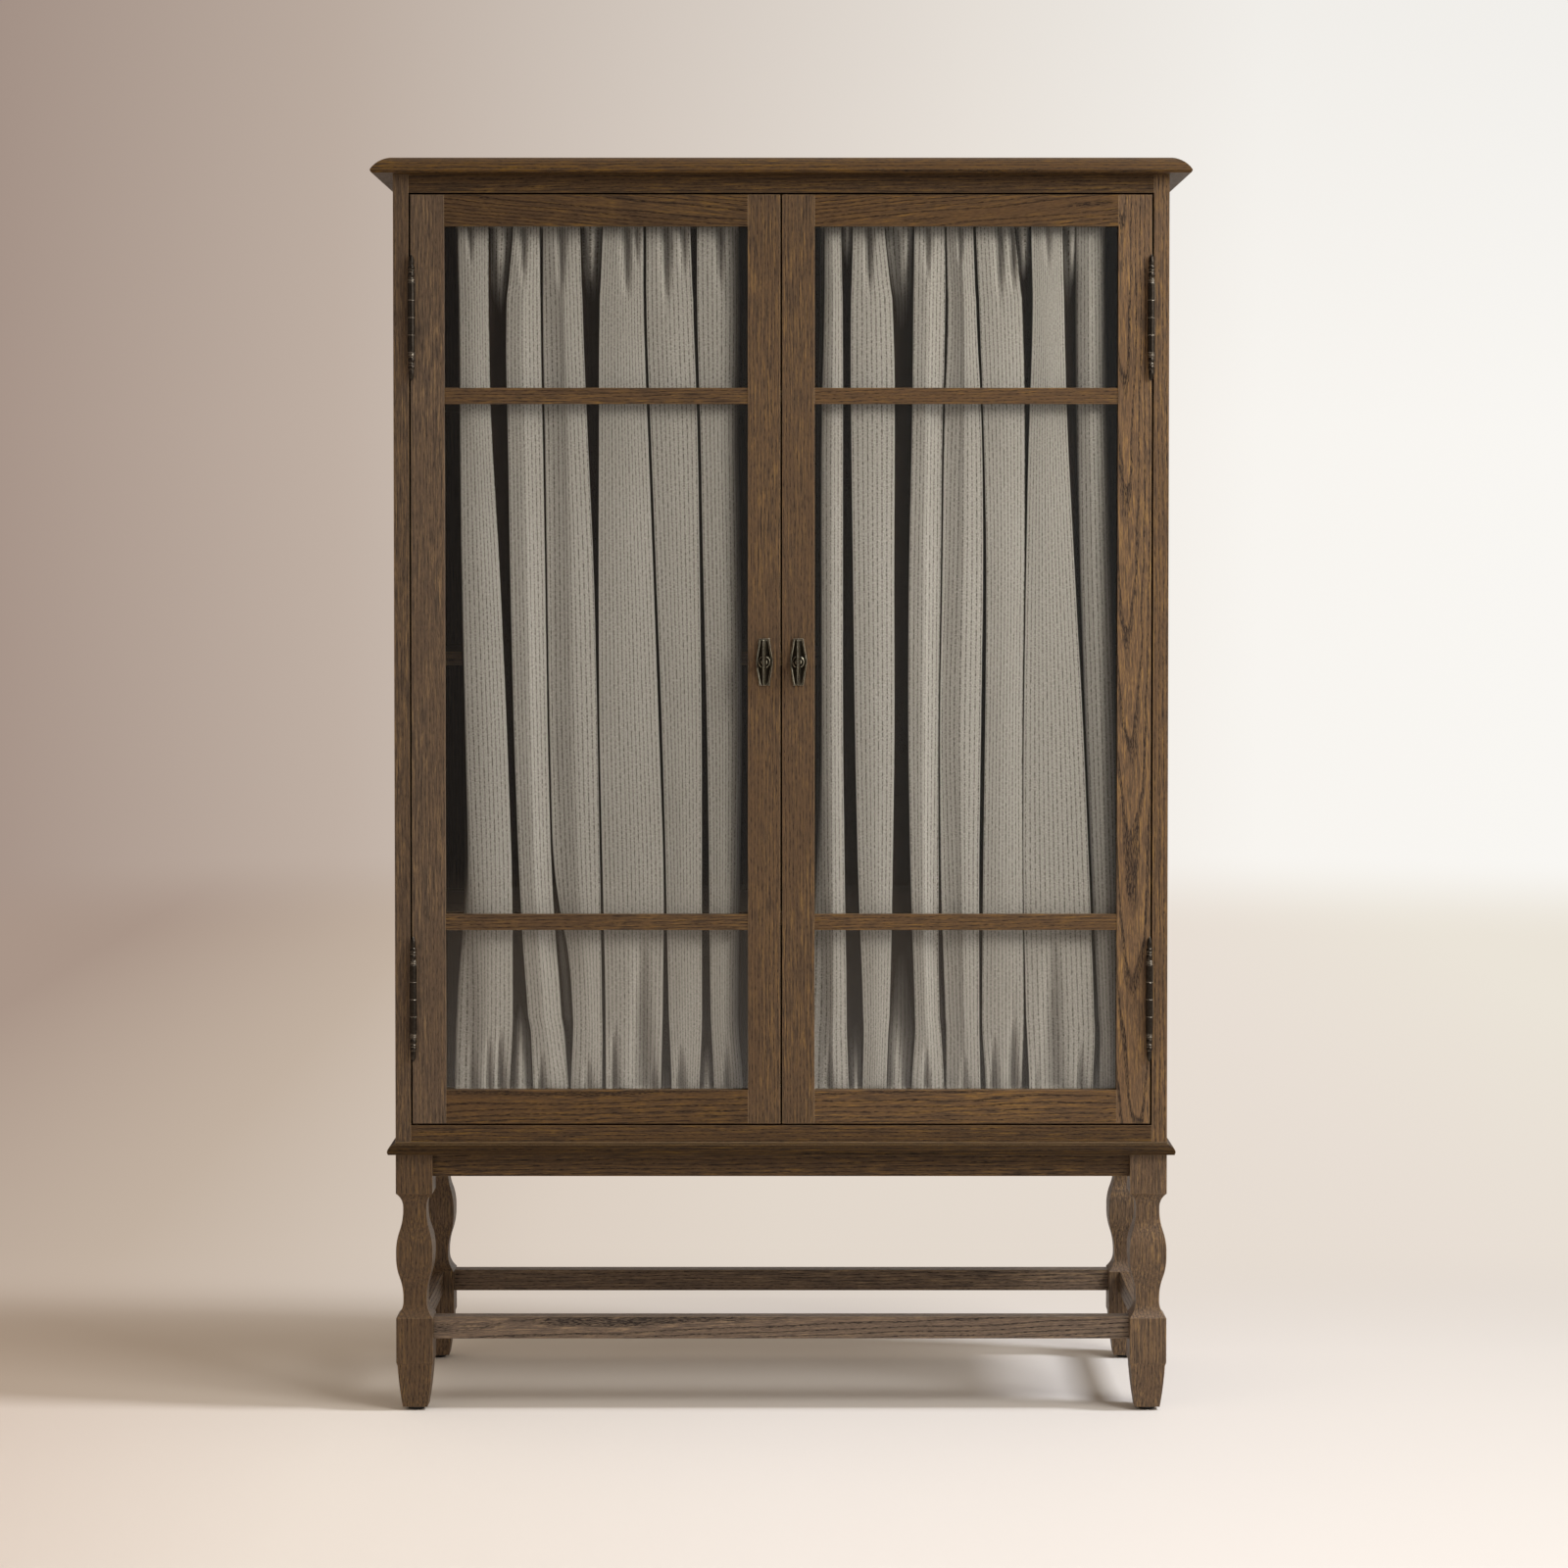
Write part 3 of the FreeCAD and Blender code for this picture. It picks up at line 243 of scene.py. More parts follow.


# How each board was cut: grain axis, heart of the tree from its middle (mm), lean (degrees), and
# how light, how grey and how strongly figured it is drawn: stain, and painted shade, light or sheen
# where marked
boards = {
    "top_board": ("x", (14, 60), (1.0, 2.0), 0.50, -0.24, 0.7),
    "case_roof": ("x", (90, 30), (0.5, 0.5), 1.0, 0.0, 0.6),
    "case_floor": ("x", (80, 30), (0.5, 0.5), 1.0, 0.0, 0.6),
    # painted shade: the shelves are drawn at half brightness, dark as inside the case
    "lower_shelf": ("x", (70, 40), (0.5, 0.8), 0.50, 0.00, 0.6),
    "middle_shelf": ("x", (60, 35), (0.6, 0.5), 0.50, 0.00, 0.6),
    "upper_shelf": ("x", (75, 30), (0.4, 0.7), 0.50, 0.00, 0.6),
    # painted shadow: the rail under the top's overhang is drawn darker
    "front_top_rail": ("x", (60, 40), (0.4, 0.8), 0.54, 0.00, 0.5),
    "front_bottom_rail": ("x", (90, 50), (0.3, 0.5), 0.62, -0.06, 0.6),
    # painted shade: the foot moulding is drawn darker
    "base_moulding": ("x", (70, 60), (0.2, 0.6), 0.28, -0.12, 0.6),
    # painted shadow: the front apron is drawn darker, as under the foot moulding
    "front_apron": ("x", (60, 60), (0.2, 0.5), 0.60, 0.00, 0.6),
    "back_apron": ("x", (70, 50), (0.3, 0.4), 0.60, -0.05, 0.6),
    # painted light: the front and back stretchers are drawn lighter and greyer, for the pale
    # floor's bounce and sheen
    "front_stretcher": ("x", (20, 45), (0.6, 2.2), 1.36, 0.42, 0.9),
    "back_stretcher": ("x", (80, 45), (0.4, 0.6), 1.28, 0.38, 0.6),
    "left_apron": ("y", (60, 60), (0.4, 0.4), 0.9, 0.1, 0.6),
    "right_apron": ("y", (70, 60), (0.4, 0.4), 0.9, 0.1, 0.6),
    "left_stretcher": ("y", (60, 50), (0.8, 0.4), 1.0, 0.2, 0.6),
    "right_stretcher": ("y", (70, 40), (0.6, 0.4), 1.0, 0.2, 0.6),
    "left_side_rails": ("y", (50, 60), (0.6, 0.6), 1.0, 0.1, 0.6),
    "right_side_rails": ("y", (60, 60), (0.6, 0.6), 1.0, 0.0, 0.6),
    "corner_blocks": ("x", (40, 60), (0.6, 0.6), 1.0, 0.0, 0.6),
    "left_side_panel": ("z", (40, 60), (1.2, 1.0), 1.0, 0.1, 0.8),
    "right_side_panel": ("z", (-40, 60), (1.0, 1.2), 1.0, 0.0, 0.8),
    # painted shade and sheen: the left post is drawn darker and greyer, as the left side falls
    # dimmer with a grey sheen
    "left_front_post": ("z", (90, 50), (0.3, 0.2), 0.80, 0.22, 0.35),
    "right_front_post": ("z", (50, 70), (0.6, 0.6), 1.02, 0.02, 0.7),
    "left_back_post": ("z", (80, 60), (0.5, 0.3), 0.95, 0.1, 0.5),
    "right_back_post": ("z", (-80, 60), (0.5, 0.3), 1.0, 0.0, 0.5),
    # painted sheen: the left hinge stile is drawn greyer
    "left_door_hinge_stile": ("z", (95, 40), (0.3, 0.3), 0.92, 0.28, 0.35),
    "left_door_lock_stile": ("z", (110, 30), (0.2, 0.2), 0.85, 0.08, 0.5),
    # darker partly by its stain and partly as painted shade under the top's overhang
    "left_door_top_rail": ("x", (12, 22), (0.4, -5.0), 0.64, -0.03, 0.9),
    "left_door_bottom_rail": ("x", (30, 60), (0.6, 1.4), 0.71, -0.10, 0.8),
    "left_door_muntins": ("x", (30, 40), (0.4, 0.8), 0.73, 0.00, 0.6),
    "right_door_hinge_stile": ("z", (8, 48), (1.6, 1.2), 1.18, 0.05, 0.9),
    "right_door_lock_stile": ("z", (-110, 30), (0.2, 0.3), 0.84, 0.09, 0.5),
    # darker partly by its stain and partly as painted shade under the top's overhang
    "right_door_top_rail": ("x", (-8, 24), (0.4, 5.5), 0.74, -0.10, 0.8),
    "right_door_bottom_rail": ("x", (40, 60), (0.6, 1.0), 0.87, -0.06, 0.8),
    "right_door_muntins": ("x", (24, 40), (0.4, 1.4), 0.82, -0.06, 0.6),
    "left_door_glass_beads": ("z", (60, 40), (0.4, 0.4), 0.8, 0.0, 0.5),
    "right_door_glass_beads": ("z", (50, 40), (0.4, 0.4), 0.8, 0.0, 0.5),
    # painted shade and sheen: the legs are drawn darker for the shade under the foot moulding, and
    # greyer for a sheen
    "front_left_leg": ("z", (50, 60), (0.6, 0.5), 0.78, 0.10, 0.4),
    "front_right_leg": ("z", (60, 50), (0.8, 0.6), 1.05, 0.17, 0.4),
    "back_left_leg": ("z", (60, 60), (0.5, 0.5), 0.95, 0.2, 0.4),
    "back_right_leg": ("z", (60, 60), (0.6, 0.4), 1.0, 0.2, 0.4),
}
for number, (nodeName, (grain, pith, tilt, light, grey, figure)) in enumerate(boards.items()):
    low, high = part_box(nodeName)
    wornAndHighlit = oak["handledAndHighlit"] if "lock_stile" in nodeName else oak["wearAndHighlight"]
    finishNode(nodeName, stainedOak(
        "stainedOak_" + nodeName, grain, tuple((low + high) / 2), pith, tilt,
        number * oak["boardStep"], light, grey, figure, wornAndHighlit))
print("oak finished on", len(boards), "pieces")

# Back panel: plywood faced with oak, stained with the case, and drawn at 0.15 of the oak's
# brightness as painted shade for the dark inside of the case
backPanel = {"centre": (0.0, 0.225, 1.1065), "pith": (30, 90), "tilt": (0.5, 0.6), "seed": 91,
             "light": 0.15, "grey": 0.0, "figure": 0.6, "wornAndHighlit": 0.5}
finishNode("back_panel", stainedOak("stainedOakPlywood", "z", **backPanel))

# Cast brass under a dark patina, its edges drawn bright, partly rubbed by handling and partly a
# painted
# highlight: nearly black and grey on the hinges, warmer on the pulls that hands rub
brass = {
    "hinge": {"patina": "#1f1b18", "mid": "#4b443c", "rubbedAndHighlit": "#d6cab6"},
    "pull": {"patina": "#14110d", "mid": "#373127", "rubbedAndHighlit": "#fbf0d2"},
    "spot": 3.846,  # mm from one cloud of the patina to the next
    "edge": 1.1,  # mm, the bright edge: rubbed brass and a painted highlight
    "edgeTurn": (0.99, 0.86), "wearAndHighlight": 0.9,  # cosine where the bright edge begins and is full; its most
    "roughness": 0.42,
}


def agedBrass(name, tones):
    material, tree = newMaterial(name)
    place = addNode(tree, "ShaderNodeTexCoord").outputs["Object"]
    cloud = addNode(tree, "ShaderNodeTexNoise", {"Scale": 1000 / brass["spot"], "Detail": 3.0},
                    {"Vector": place})
    patina = addNode(tree, "ShaderNodeMix", {
        "data_type": "RGBA", 6: linear(tones["patina"]), 7: linear(tones["mid"])},
        {0: cloud.outputs["Fac"]})
    soft, rubbedAndHighlit = rubbedAndHighlitEdges(tree, brass["edge"], brass["edgeTurn"], brass["wearAndHighlight"])
    metal = addNode(tree, "ShaderNodeMix", {"data_type": "RGBA", 7: linear(tones["rubbedAndHighlit"])},
                    {0: rubbedAndHighlit, 6: patina.outputs[2]})
    shader = addNode(tree, "ShaderNodeBsdfPrincipled", {
        "Metallic": 1.0, "Roughness": brass["roughness"]},
        {"Base Color": metal.outputs[2], "Normal": soft})
    addNode(tree, "ShaderNodeOutputMaterial", {}, {"Surface": shader.outputs[0]})
    return material


hingeBrass = agedBrass("blackenedBrass", brass["hinge"])
pullBrass = agedBrass("handledBrass", brass["pull"])
for nodeName in ("frame_hinge_leaves", "hinge_pins",
                 "left_door_hinge_leaves", "right_door_hinge_leaves"):
    finishNode(nodeName, hingeBrass)
for nodeName in ("left_door_pull", "right_door_pull"):
    finishNode(nodeName, pullBrass)
print("brass finished")

# Small fittings. Steel: zinc plating gives plates and pins a cool grey shine, and a dark coat
# covers the drawn rods. Moulded plastic: nylon glides and ABS catches, dull with a fine spark
# texture. The grain is finer on the real ones, drawn coarser to show
fittings = {
    "zincPlatedSteel": {
        "colour": "#b4b4b0", "second": "#9a9a96", "grainSize": 0.8,  # mm
        "relief": 0.2, "roughness": 0.35, "metallic": 1.0,
        "nodes": ("left_door_strike_plate", "right_door_strike_plate", "shelf_pins")},
    "darkRodSteel": {
        "colour": "#4a4038", "second": "#3a322c", "grainSize": 0.8,
        "relief": 0.2, "roughness": 0.4, "metallic": 1.0,
        "nodes": ("left_door_curtain_rods", "right_door_curtain_rods")},
    "mouldedNylon": {
        "colour": "#121212", "second": "#1b1b1a", "grainSize": 0.5,
        "relief": 0.3, "roughness": 0.55, "metallic": 0.0,
        "nodes": ("foot_glides",)},
    "mouldedAbs": {
        "colour": "#33271f", "second": "#3b2e25", "grainSize": 0.5,
        "relief": 0.3, "roughness": 0.5, "metallic": 0.0,
        "nodes": ("door_catches",)},
}
for name, fitting in fittings.items():
    material, tree = newMaterial(name)
    place = addNode(tree, "ShaderNodeTexCoord").outputs["Object"]
    speckle = addNode(tree, "ShaderNodeTexNoise", {
        "Scale": 1000 / fitting["grainSize"], "Detail": 2.0}, {"Vector": place})
    mottle = addNode(tree, "ShaderNodeMix", {
        "data_type": "RGBA", 6: linear(fitting["colour"]), 7: linear(fitting["second"])},
        {0: speckle.outputs["Fac"]})
    relief = addNode(tree, "ShaderNodeBump", {"Strength": fitting["relief"], "Distance": 0.0001},
                     {"Height": speckle.outputs["Fac"]})
    shader = addNode(tree, "ShaderNodeBsdfPrincipled", {
        "Roughness": fitting["roughness"], "Metallic": fitting["metallic"]},
        {"Base Color": mottle.outputs[2], "Normal": relief.outputs[0]})
    addNode(tree, "ShaderNodeOutputMaterial", {}, {"Surface": shader.outputs[0]})
    for nodeName in fitting["nodes"]:
        finishNode(nodeName, material)

# Float glass, flat and clear with a faint grey tint, so that the cloth shows sharply behind it
glass = {"tint": "#f6f6f3", "roughness": 0.0, "ior": 1.5}
floatGlass, tree = newMaterial("floatGlass")
pane = addNode(tree, "ShaderNodeBsdfPrincipled", {
    "Base Color": linear(glass["tint"]), "Roughness": glass["roughness"], "IOR": glass["ior"],
    "Transmission Weight": 1.0})
passing = addNode(tree, "ShaderNodeBsdfTransparent", {"Color": linear(glass["tint"])})
rays = addNode(tree, "ShaderNodeLightPath")
both = addNode(tree, "ShaderNodeMixShader", {}, {
    0: rays.outputs["Is Shadow Ray"], 1: pane.outputs[0], 2: passing.outputs[0]})
addNode(tree, "ShaderNodeOutputMaterial", {}, {"Surface": both.outputs[0]})
for nodeName in ("left_door_glass", "right_door_glass"):
    finishNode(nodeName, floatGlass)
print("fittings and glass finished")

# Linen, plain woven with a broken pinstripe: matt, with slubby threads and dark dashes that run
# down it in lines. A real thread is 0.4 mm wide; drawn coarser to show at this distance
linen = {
    # shade: the near-black brown that the valleys' painted shade goes to
    "light": "#b6b2ad", "thread": "#87827c", "dash": "#4c463f", "shade": "#1b1108",
    "threadGap": 1.3, "slubLength": 3.5,  # mm
    "stripeGap": 5.6, "dashLength": 1.7, "stripeWaver": 40.0,
    "weaveCut": (0.70, 1.30),  # noise of the darker thread and of the lighter one
    "stripeCut": (0.70, 0.98), "stripeMost": 0.9,  # wave where a stripe begins and is full
    "dashCut": (0.42, 0.58), "dashLeast": 0.25,  # what is left of a stripe between its dashes
    "paintedShadeCut": (0.10, 0.56), "paintedShadeMost": 0.98,  # painted shade: how closed in a point is where it begins to darken and where it is full, and how dark it gets
    "relief": 0.15, "threadDepth": 0.3,  # mm
    "roughness": 0.95, "specular": 0.02,
}


def wovenLinen(name, shaded):
    material, tree = newMaterial(name)
    cloth = addNode(tree, "ShaderNodeUVMap", {"uv_map": "threads"}).outputs[0]
    sizes = {  # mm across and down the cloth
        "thread": (linen["threadGap"], linen["threadGap"]),
        "slub": (linen["threadGap"], linen["slubLength"]),
        "stripe": (linen["stripeGap"], linen["stripeWaver"]),
        "dash": (linen["stripeGap"], linen["dashLength"]),
    }
    scaled = {mark: addNode(tree, "ShaderNodeVectorMath", {
        "operation": "MULTIPLY", 1: (1000 / width, 1000 / length, 1.0)}, {0: cloth}).outputs[0]
        for mark, (width, length) in sizes.items()}
    speckle = addNode(tree, "ShaderNodeTexNoise", {"Scale": 1.0, "Detail": 1.0, "Roughness": 0.7},
                      {"Vector": scaled["thread"]})
    slubs = addNode(tree, "ShaderNodeTexNoise", {"Scale": 1.0, "Detail": 2.0, "Roughness": 0.6},
                    {"Vector": scaled["slub"]})
    weave = addNode(tree, "ShaderNodeMath", {"operation": "ADD"},
                    {0: speckle.outputs["Fac"], 1: slubs.outputs["Fac"]})
    mottle = addNode(tree, "ShaderNodeMapRange", {
        "From Min": linen["weaveCut"][0], "From Max": linen["weaveCut"][1]},
        {"Value": weave.outputs[0]})
    threads = addNode(tree, "ShaderNodeMix", {
        "data_type": "RGBA", 6: linear(linen["thread"]), 7: linear(linen["light"])},
        {0: mottle.outputs[0]})
    stripes = addNode(tree, "ShaderNodeTexWave", {
        "wave_type": "BANDS", "bands_direction": "X", "Scale": math.pi / 10, "Distortion": 0.6,
        "Detail": 1.0, "Detail Scale": 3.0}, {"Vector": scaled["stripe"]})
    line = addNode(tree, "ShaderNodeMapRange", {
        "From Min": linen["stripeCut"][0], "From Max": linen["stripeCut"][1],
        "To Max": linen["stripeMost"]}, {"Value": stripes.outputs["Fac"]})
    broken = addNode(tree, "ShaderNodeTexNoise", {"Scale": 1.0, "Detail": 0.0},
                     {"Vector": scaled["dash"]})
    breaks = addNode(tree, "ShaderNodeMapRange", {
        "From Min": linen["dashCut"][0], "From Max": linen["dashCut"][1],
        "To Min": linen["dashLeast"]}, {"Value": broken.outputs["Fac"]})
    dash = addNode(tree, "ShaderNodeMath", {"operation": "MULTIPLY"},
                   {0: line.outputs[0], 1: breaks.outputs[0]})
    colour = addNode(tree, "ShaderNodeMix", {"data_type": "RGBA", 7: linear(linen["dash"])},
                     {0: dash.outputs[0], 6: threads.outputs[2]})
    if shaded:  # painted shade: the valleys darken towards the shade colour as the folds close them in
        valley = addNode(tree, "ShaderNodeAttribute", {"attribute_name": "valley"})
        depth = addNode(tree, "ShaderNodeMapRange", {
            "From Min": linen["paintedShadeCut"][0], "From Max": linen["paintedShadeCut"][1],
            "To Max": linen["paintedShadeMost"]}, {"Value": valley.outputs["Fac"]})
        colour = addNode(tree, "ShaderNodeMix", {"data_type": "RGBA", 7: linear(linen["shade"])},
                         {0: depth.outputs[0], 6: colour.outputs[2]})
    relief = addNode(tree, "ShaderNodeBump", {
        "Strength": linen["relief"], "Distance": linen["threadDepth"] / 1000},
        {"Height": weave.outputs[0]})
    shader = addNode(tree, "ShaderNodeBsdfPrincipled", {
        "Roughness": linen["roughness"], "Specular IOR Level": linen["specular"]},
        {"Base Color": colour.outputs[2], "Normal": relief.outputs[0]})
    addNode(tree, "ShaderNodeOutputMaterial", {}, {"Surface": shader.outputs[0]})
    return material


linenFace = wovenLinen("wovenLinen", True)
linenBack = wovenLinen("wovenLinenBack", False)

# Curtains: one width of linen behind each pane, gathered on a rod at its top and bottom.
# Folds hang from the gathers, each with a nearly flat front that tucks in behind a crisp edge
# or slopes back from a soft one (0 crisp, 1 soft); dip is how deep the valley after a fold goes
curtain = {
    "front": -172.2, "back": -146.0,  # mm, where the folds' fronts and valleys lie
    "spare": (0.6, 1.0),  # mm that the cloth may pass these by
    "rodDepth": -161.0, "rodLow": 473.0, "rodHigh": 1791.5,
    "thickness": 0.9,
    "heights": (1773.5, 1635.5, 1487.5, 1266.5, 1031.5, 795.5, 633.5, 574.5, 493.5),
    # rows of points at each seam, between the seams, and over how many the edges are smoothed;
    # columns from one control point to the next on a fold's front, and elsewhere
    "seamRows": 16, "hangRows": 46, "smoothRows": 7, "frontSteps": 12, "wallSteps": 3,
    # pocket round the rod, mm and degrees: the drop is from the rod's middle to the seam, where
    # the hem laps a little over the cloth and lies behind it
    "pocketRadius": 5.0, "pocketRipple": 1.6, "pocketDrop": 14.0, "hemLap": 0.4, "hemBehind": 1.1,
    "pocketAngles": (-35, 0, 40, 90, 140, 180, 215),
    # mm over which the folds grow to their depth, and their share of it at the seam
    "gatherRun": 105.0, "gatherShare": 0.72,
    # how much deeper and wider than listed the gathers are, how they fade, what is left of their
    # width in the end, and the part of their depth that doesn't follow the folds'
    "gatherDepth": 1.1, "gatherWidth": 1.2, "gatherFade": 0.8, "gatherNarrow": 0.5,
    "gatherSeam": 0.35,
    # a fold's wall, mm: how far it tucks in behind a crisp edge and slopes back outside a soft one,
    # how much further at the curtain's own side, and how far the front bulges
    "tuck": 4.5, "slope": 9.0, "sideSlope": 1.1, "crown": 0.6,
    # the wall's foot: share of the way out, less some mm, and the share that a soft edge adds
    "footShare": 0.5, "footIn": 1.5, "footSoft": 0.4, "footDepth": 0.86,
    # from the foot to the front, for a crisp edge and what a soft one adds: shares of the fold's
    # depth, then how far in the front is flat, as a share of the fold's width and at most in mm
    "tuckDepth": (0.48, 0.1), "edgeDepth": (0.13, 0.31), "faceDepth": (0.065, 0.05),
    "faceShare": (0.13, 0.22), "faceReach": (5.0, 12),
    # slow unevenness, mm: its height, and its two waves across and down
    "uneven": 0.5, "unevenAcross": (21, 130), "unevenDown": (83, 57),
    # painted shade in the valleys: mm from the seams, how deep it grows there, and its blur in mm
    "shadeRun": (0, 260), "shadeDepth": (0.9, 1.5), "shadeBlur": 0.5,
}
# edges: mm from the cabinet's middle, at each of the heights
leftFolds = [
    {"low": (-485, -482, -482, -480, -475, -470, -471, -472, -474),
     "high": (-439, -439, -436, -423, -413, -405, -405, -405, -410),
     "soft": ((0.1, 0.1, 0.1, 0.1, 0.1, 0.4, 1.0, 1.0, 1.0), 0.0), "set": 0.0},
    {"low": (-401, -414, -410, -407, -402, -394, -385, -377, -374),
     "high": (-367, -367, -364, -360, -356, -352, -340, -334, -322), "soft": (0.0, 0.7), "set": 0.5,
     "dip": (0.9, 0.7, 0.6, 0.55, 0.55, 0.6, 0.8, 0.9, 1.0)},
    {"low": (-352, -349, -346, -344, -342, -334, -313, -313, -317),
     "high": (-302, -298, -292, -282, -277, -273, -271, -270, -271),
     "soft": ((0.8, 1.0, 1.0, 1.0, 1.0, 1.0, 0.0, 0.0, 0.0), 0.0), "set": 1.0},
    {"low": (-267, -273, -273, -274, -273, -268, -264, -264, -264),
     "high": (-207, -207, -201, -193, -185, -177, -179, -180, -182),
     "soft": (0.0, 0.0), "set": 0.0},
    {"low": (-202, -202, -196, -188, -179, -173, -170, -168, -165),
     "high": (-137, -132, -126, -123, -120, -120, -120, -120, -124),
     "soft": (0.0, 0.0), "set": 0.8},
    {"low": (-126, -126, -121, -117, -111, -108, -107, -105, -101),
     "high": (-73, -71, -74, -70, -68, -71, -74, -74, -67), "soft": (0.0, 0.5), "set": 0.0},
]
rightFolds = [
    {"low": (65, 65, 60, 60, 61, 60, 62, 58, 56),
     "high": (89, 92, 92, 92, 92, 95, 98, 98, 101),
     "soft": ((0.3, 0.3, 0.3, 0.3, 0.3, 0.6, 1.0, 1.0, 1.0), 0.0), "set": 0.6},
    {"low": (108, 104, 105, 108, 111, 116, 123, 125, 123),
     "high": (154, 169, 170, 169, 170, 167, 164, 161, 158), "soft": (0.0, 0.0), "set": 0.0},
    {"low": (200, 198, 197, 192, 191, 195, 201, 203, 197),
     "high": (241, 239, 236, 235, 233, 230, 230, 234, 239), "soft": (0.0, 0.8), "set": 0.6,
     "dip": (0.9, 0.7, 0.55, 0.5, 0.5, 0.55, 0.7, 0.8, 0.9)},
    {"low": (253, 260, 251, 248, 242, 248, 254, 257, 257),
     "high": (287, 292, 301, 303, 300, 297, 298, 298, 300), "soft": (0.9, 0.0), "set": 1.4},
    {"low": (292, 298, 304, 309, 307, 304, 303, 303, 309),
     "high": (350, 363, 365, 365, 362, 363, 365, 365, 362), "soft": (0.0, 0.0), "set": 0.0},
    {"low": (375, 378, 372, 368, 365, 365, 369, 371, 375),
     "high": (421, 424, 428, 440, 453, 463, 469, 472, 469), "soft": (0.0, 0.0), "set": 0.4},
    {"low": (447, 446, 447, 450, 458, 468, 477, 481, 483),
     "high": (478, 480, 483, 490, 499, 505, 508, 508, 508), "soft": (0.6, 0.5), "set": 2.0},
]
# gathers that die away from the seams: place, depth (minus comes forward), half width, run, all mm
leftGathers = {
    "top": ((-466, 12, 4, 55), (-422, -19, 8, 130), (-387, 15, 5.5, 85), (-330, 16, 6, 95),
            (-285, -18, 7, 90), (-232, 18, 6.5, 105), (-217, 11, 4, 60), (-173, 17, 6.5, 115),
            (-147, 12, 5, 75), (-92, 17, 6, 95)),
    "bottom": ((-467, 10, 6, 70), (-441, 13, 5, 75), (-424, 15, 5, 90), (-394, -18, 8, 150),
               (-362, 12, 4.5, 50), (-292, 9, 5, 45), (-252, 14, 5, 95), (-211, 20, 12, 250),
               (-193, 10, 4, 40), (-153, 14, 6.5, 60), (-113, -15, 5, 70), (-82, 14, 5, 75)),
}
rightGathers = {
    "top": ((99, -13, 5, 70), (131, 16, 5.5, 100), (184, -18, 8, 110), (219, 14, 5, 75),
            (268, 11, 4, 55), (327, 17, 6, 110), (347, 18, 6, 95), (364, -16, 6, 90),
            (399, 10, 4.5, 60), (436, -15, 6.5, 80)),
    "bottom": ((72, 11, 4, 65), (112, -14, 5, 65), (173, -15, 8, 115), (218, 13, 5, 65),
               (276, 9, 4.5, 50), (320, 13, 5, 75), (349, 15, 6, 115), (407, 19, 13, 250),
               (385, 9, 4, 45), (450, 13, 5, 70), (479, -12, 5, 60)),
}


def eased(key, soft):  # a crisp edge's value, and what a soft one adds
    crisp, added = curtain[key]
    return crisp + added * soft


def crossSection(folds, z):  # control points (x, y) of the cloth at each height
    front, deep = curtain["front"], curtain["back"] - curtain["front"]
    heights, count = curtain["heights"], curtain["smoothRows"]

    def level(values):  # one value for each row, from one for each of the heights
        line = np.interp(-z, [-h for h in heights], np.broadcast_to(values, len(heights)))
        return np.convolve(np.pad(line, count // 2, mode="edge"), np.ones(count) / count,
                           mode="valid")

    edges = [level(fold[side]) for fold in folds for side in ("low", "high")]
    outer = curtain["slope"] * np.ones(len(z))
    points = []
    for i, fold in enumerate(folds):
        low, high = edges[2 * i], edges[2 * i + 1]
        wide = high - low
        gapLow = low - edges[2 * i - 1] if i else outer
        gapHigh = edges[2 * i + 2] - high if i + 1 < len(folds) else outer
        face = front + fold["set"]
        dipLow = level(folds[i - 1].get("dip", 1.0) if i else 1.0)
        dipHigh = level(fold.get("dip", 1.0))
        for side, edge, gap, softness, dip in ((-1, low, gapLow, fold["soft"][0], dipLow),
                                               (1, high, gapHigh, fold["soft"][1], dipHigh)):
            soft = level(softness)
            if gap is outer:  # at the curtain's own side
                out = outer * (1 + curtain["sideSlope"] * soft)
            else:
                out = np.minimum(gap * 0.5, outer)
            foot = edge + side * (out * curtain["footShare"] - curtain["footIn"])
            tuck = edge - side * curtain["tuck"] * (1 - soft)
            reach = np.minimum(wide * eased("faceShare", soft), eased("faceReach", soft))
            wall = [
                (foot + side * soft * curtain["footSoft"] * out,
                 face + deep * curtain["footDepth"] * dip),
                (tuck + side * out * soft, face + deep * eased("tuckDepth", soft) * dip),
                (edge, face + deep * eased("edgeDepth", soft) * np.sqrt(dip)),
                (edge - side * reach, face + deep * eased("faceDepth", soft)),
            ]
            if side < 0:
                points += wall + [((low + high) / 2, face - curtain["crown"])]
            else:
                points += wall[::-1]
        if i + 1 < len(folds):
            points.append((high + gapHigh / 2, front + deep * dipHigh))
    return np.stack([np.stack([x + 0 * z, y + 0 * z], axis=1) for x, y in points], axis=1)


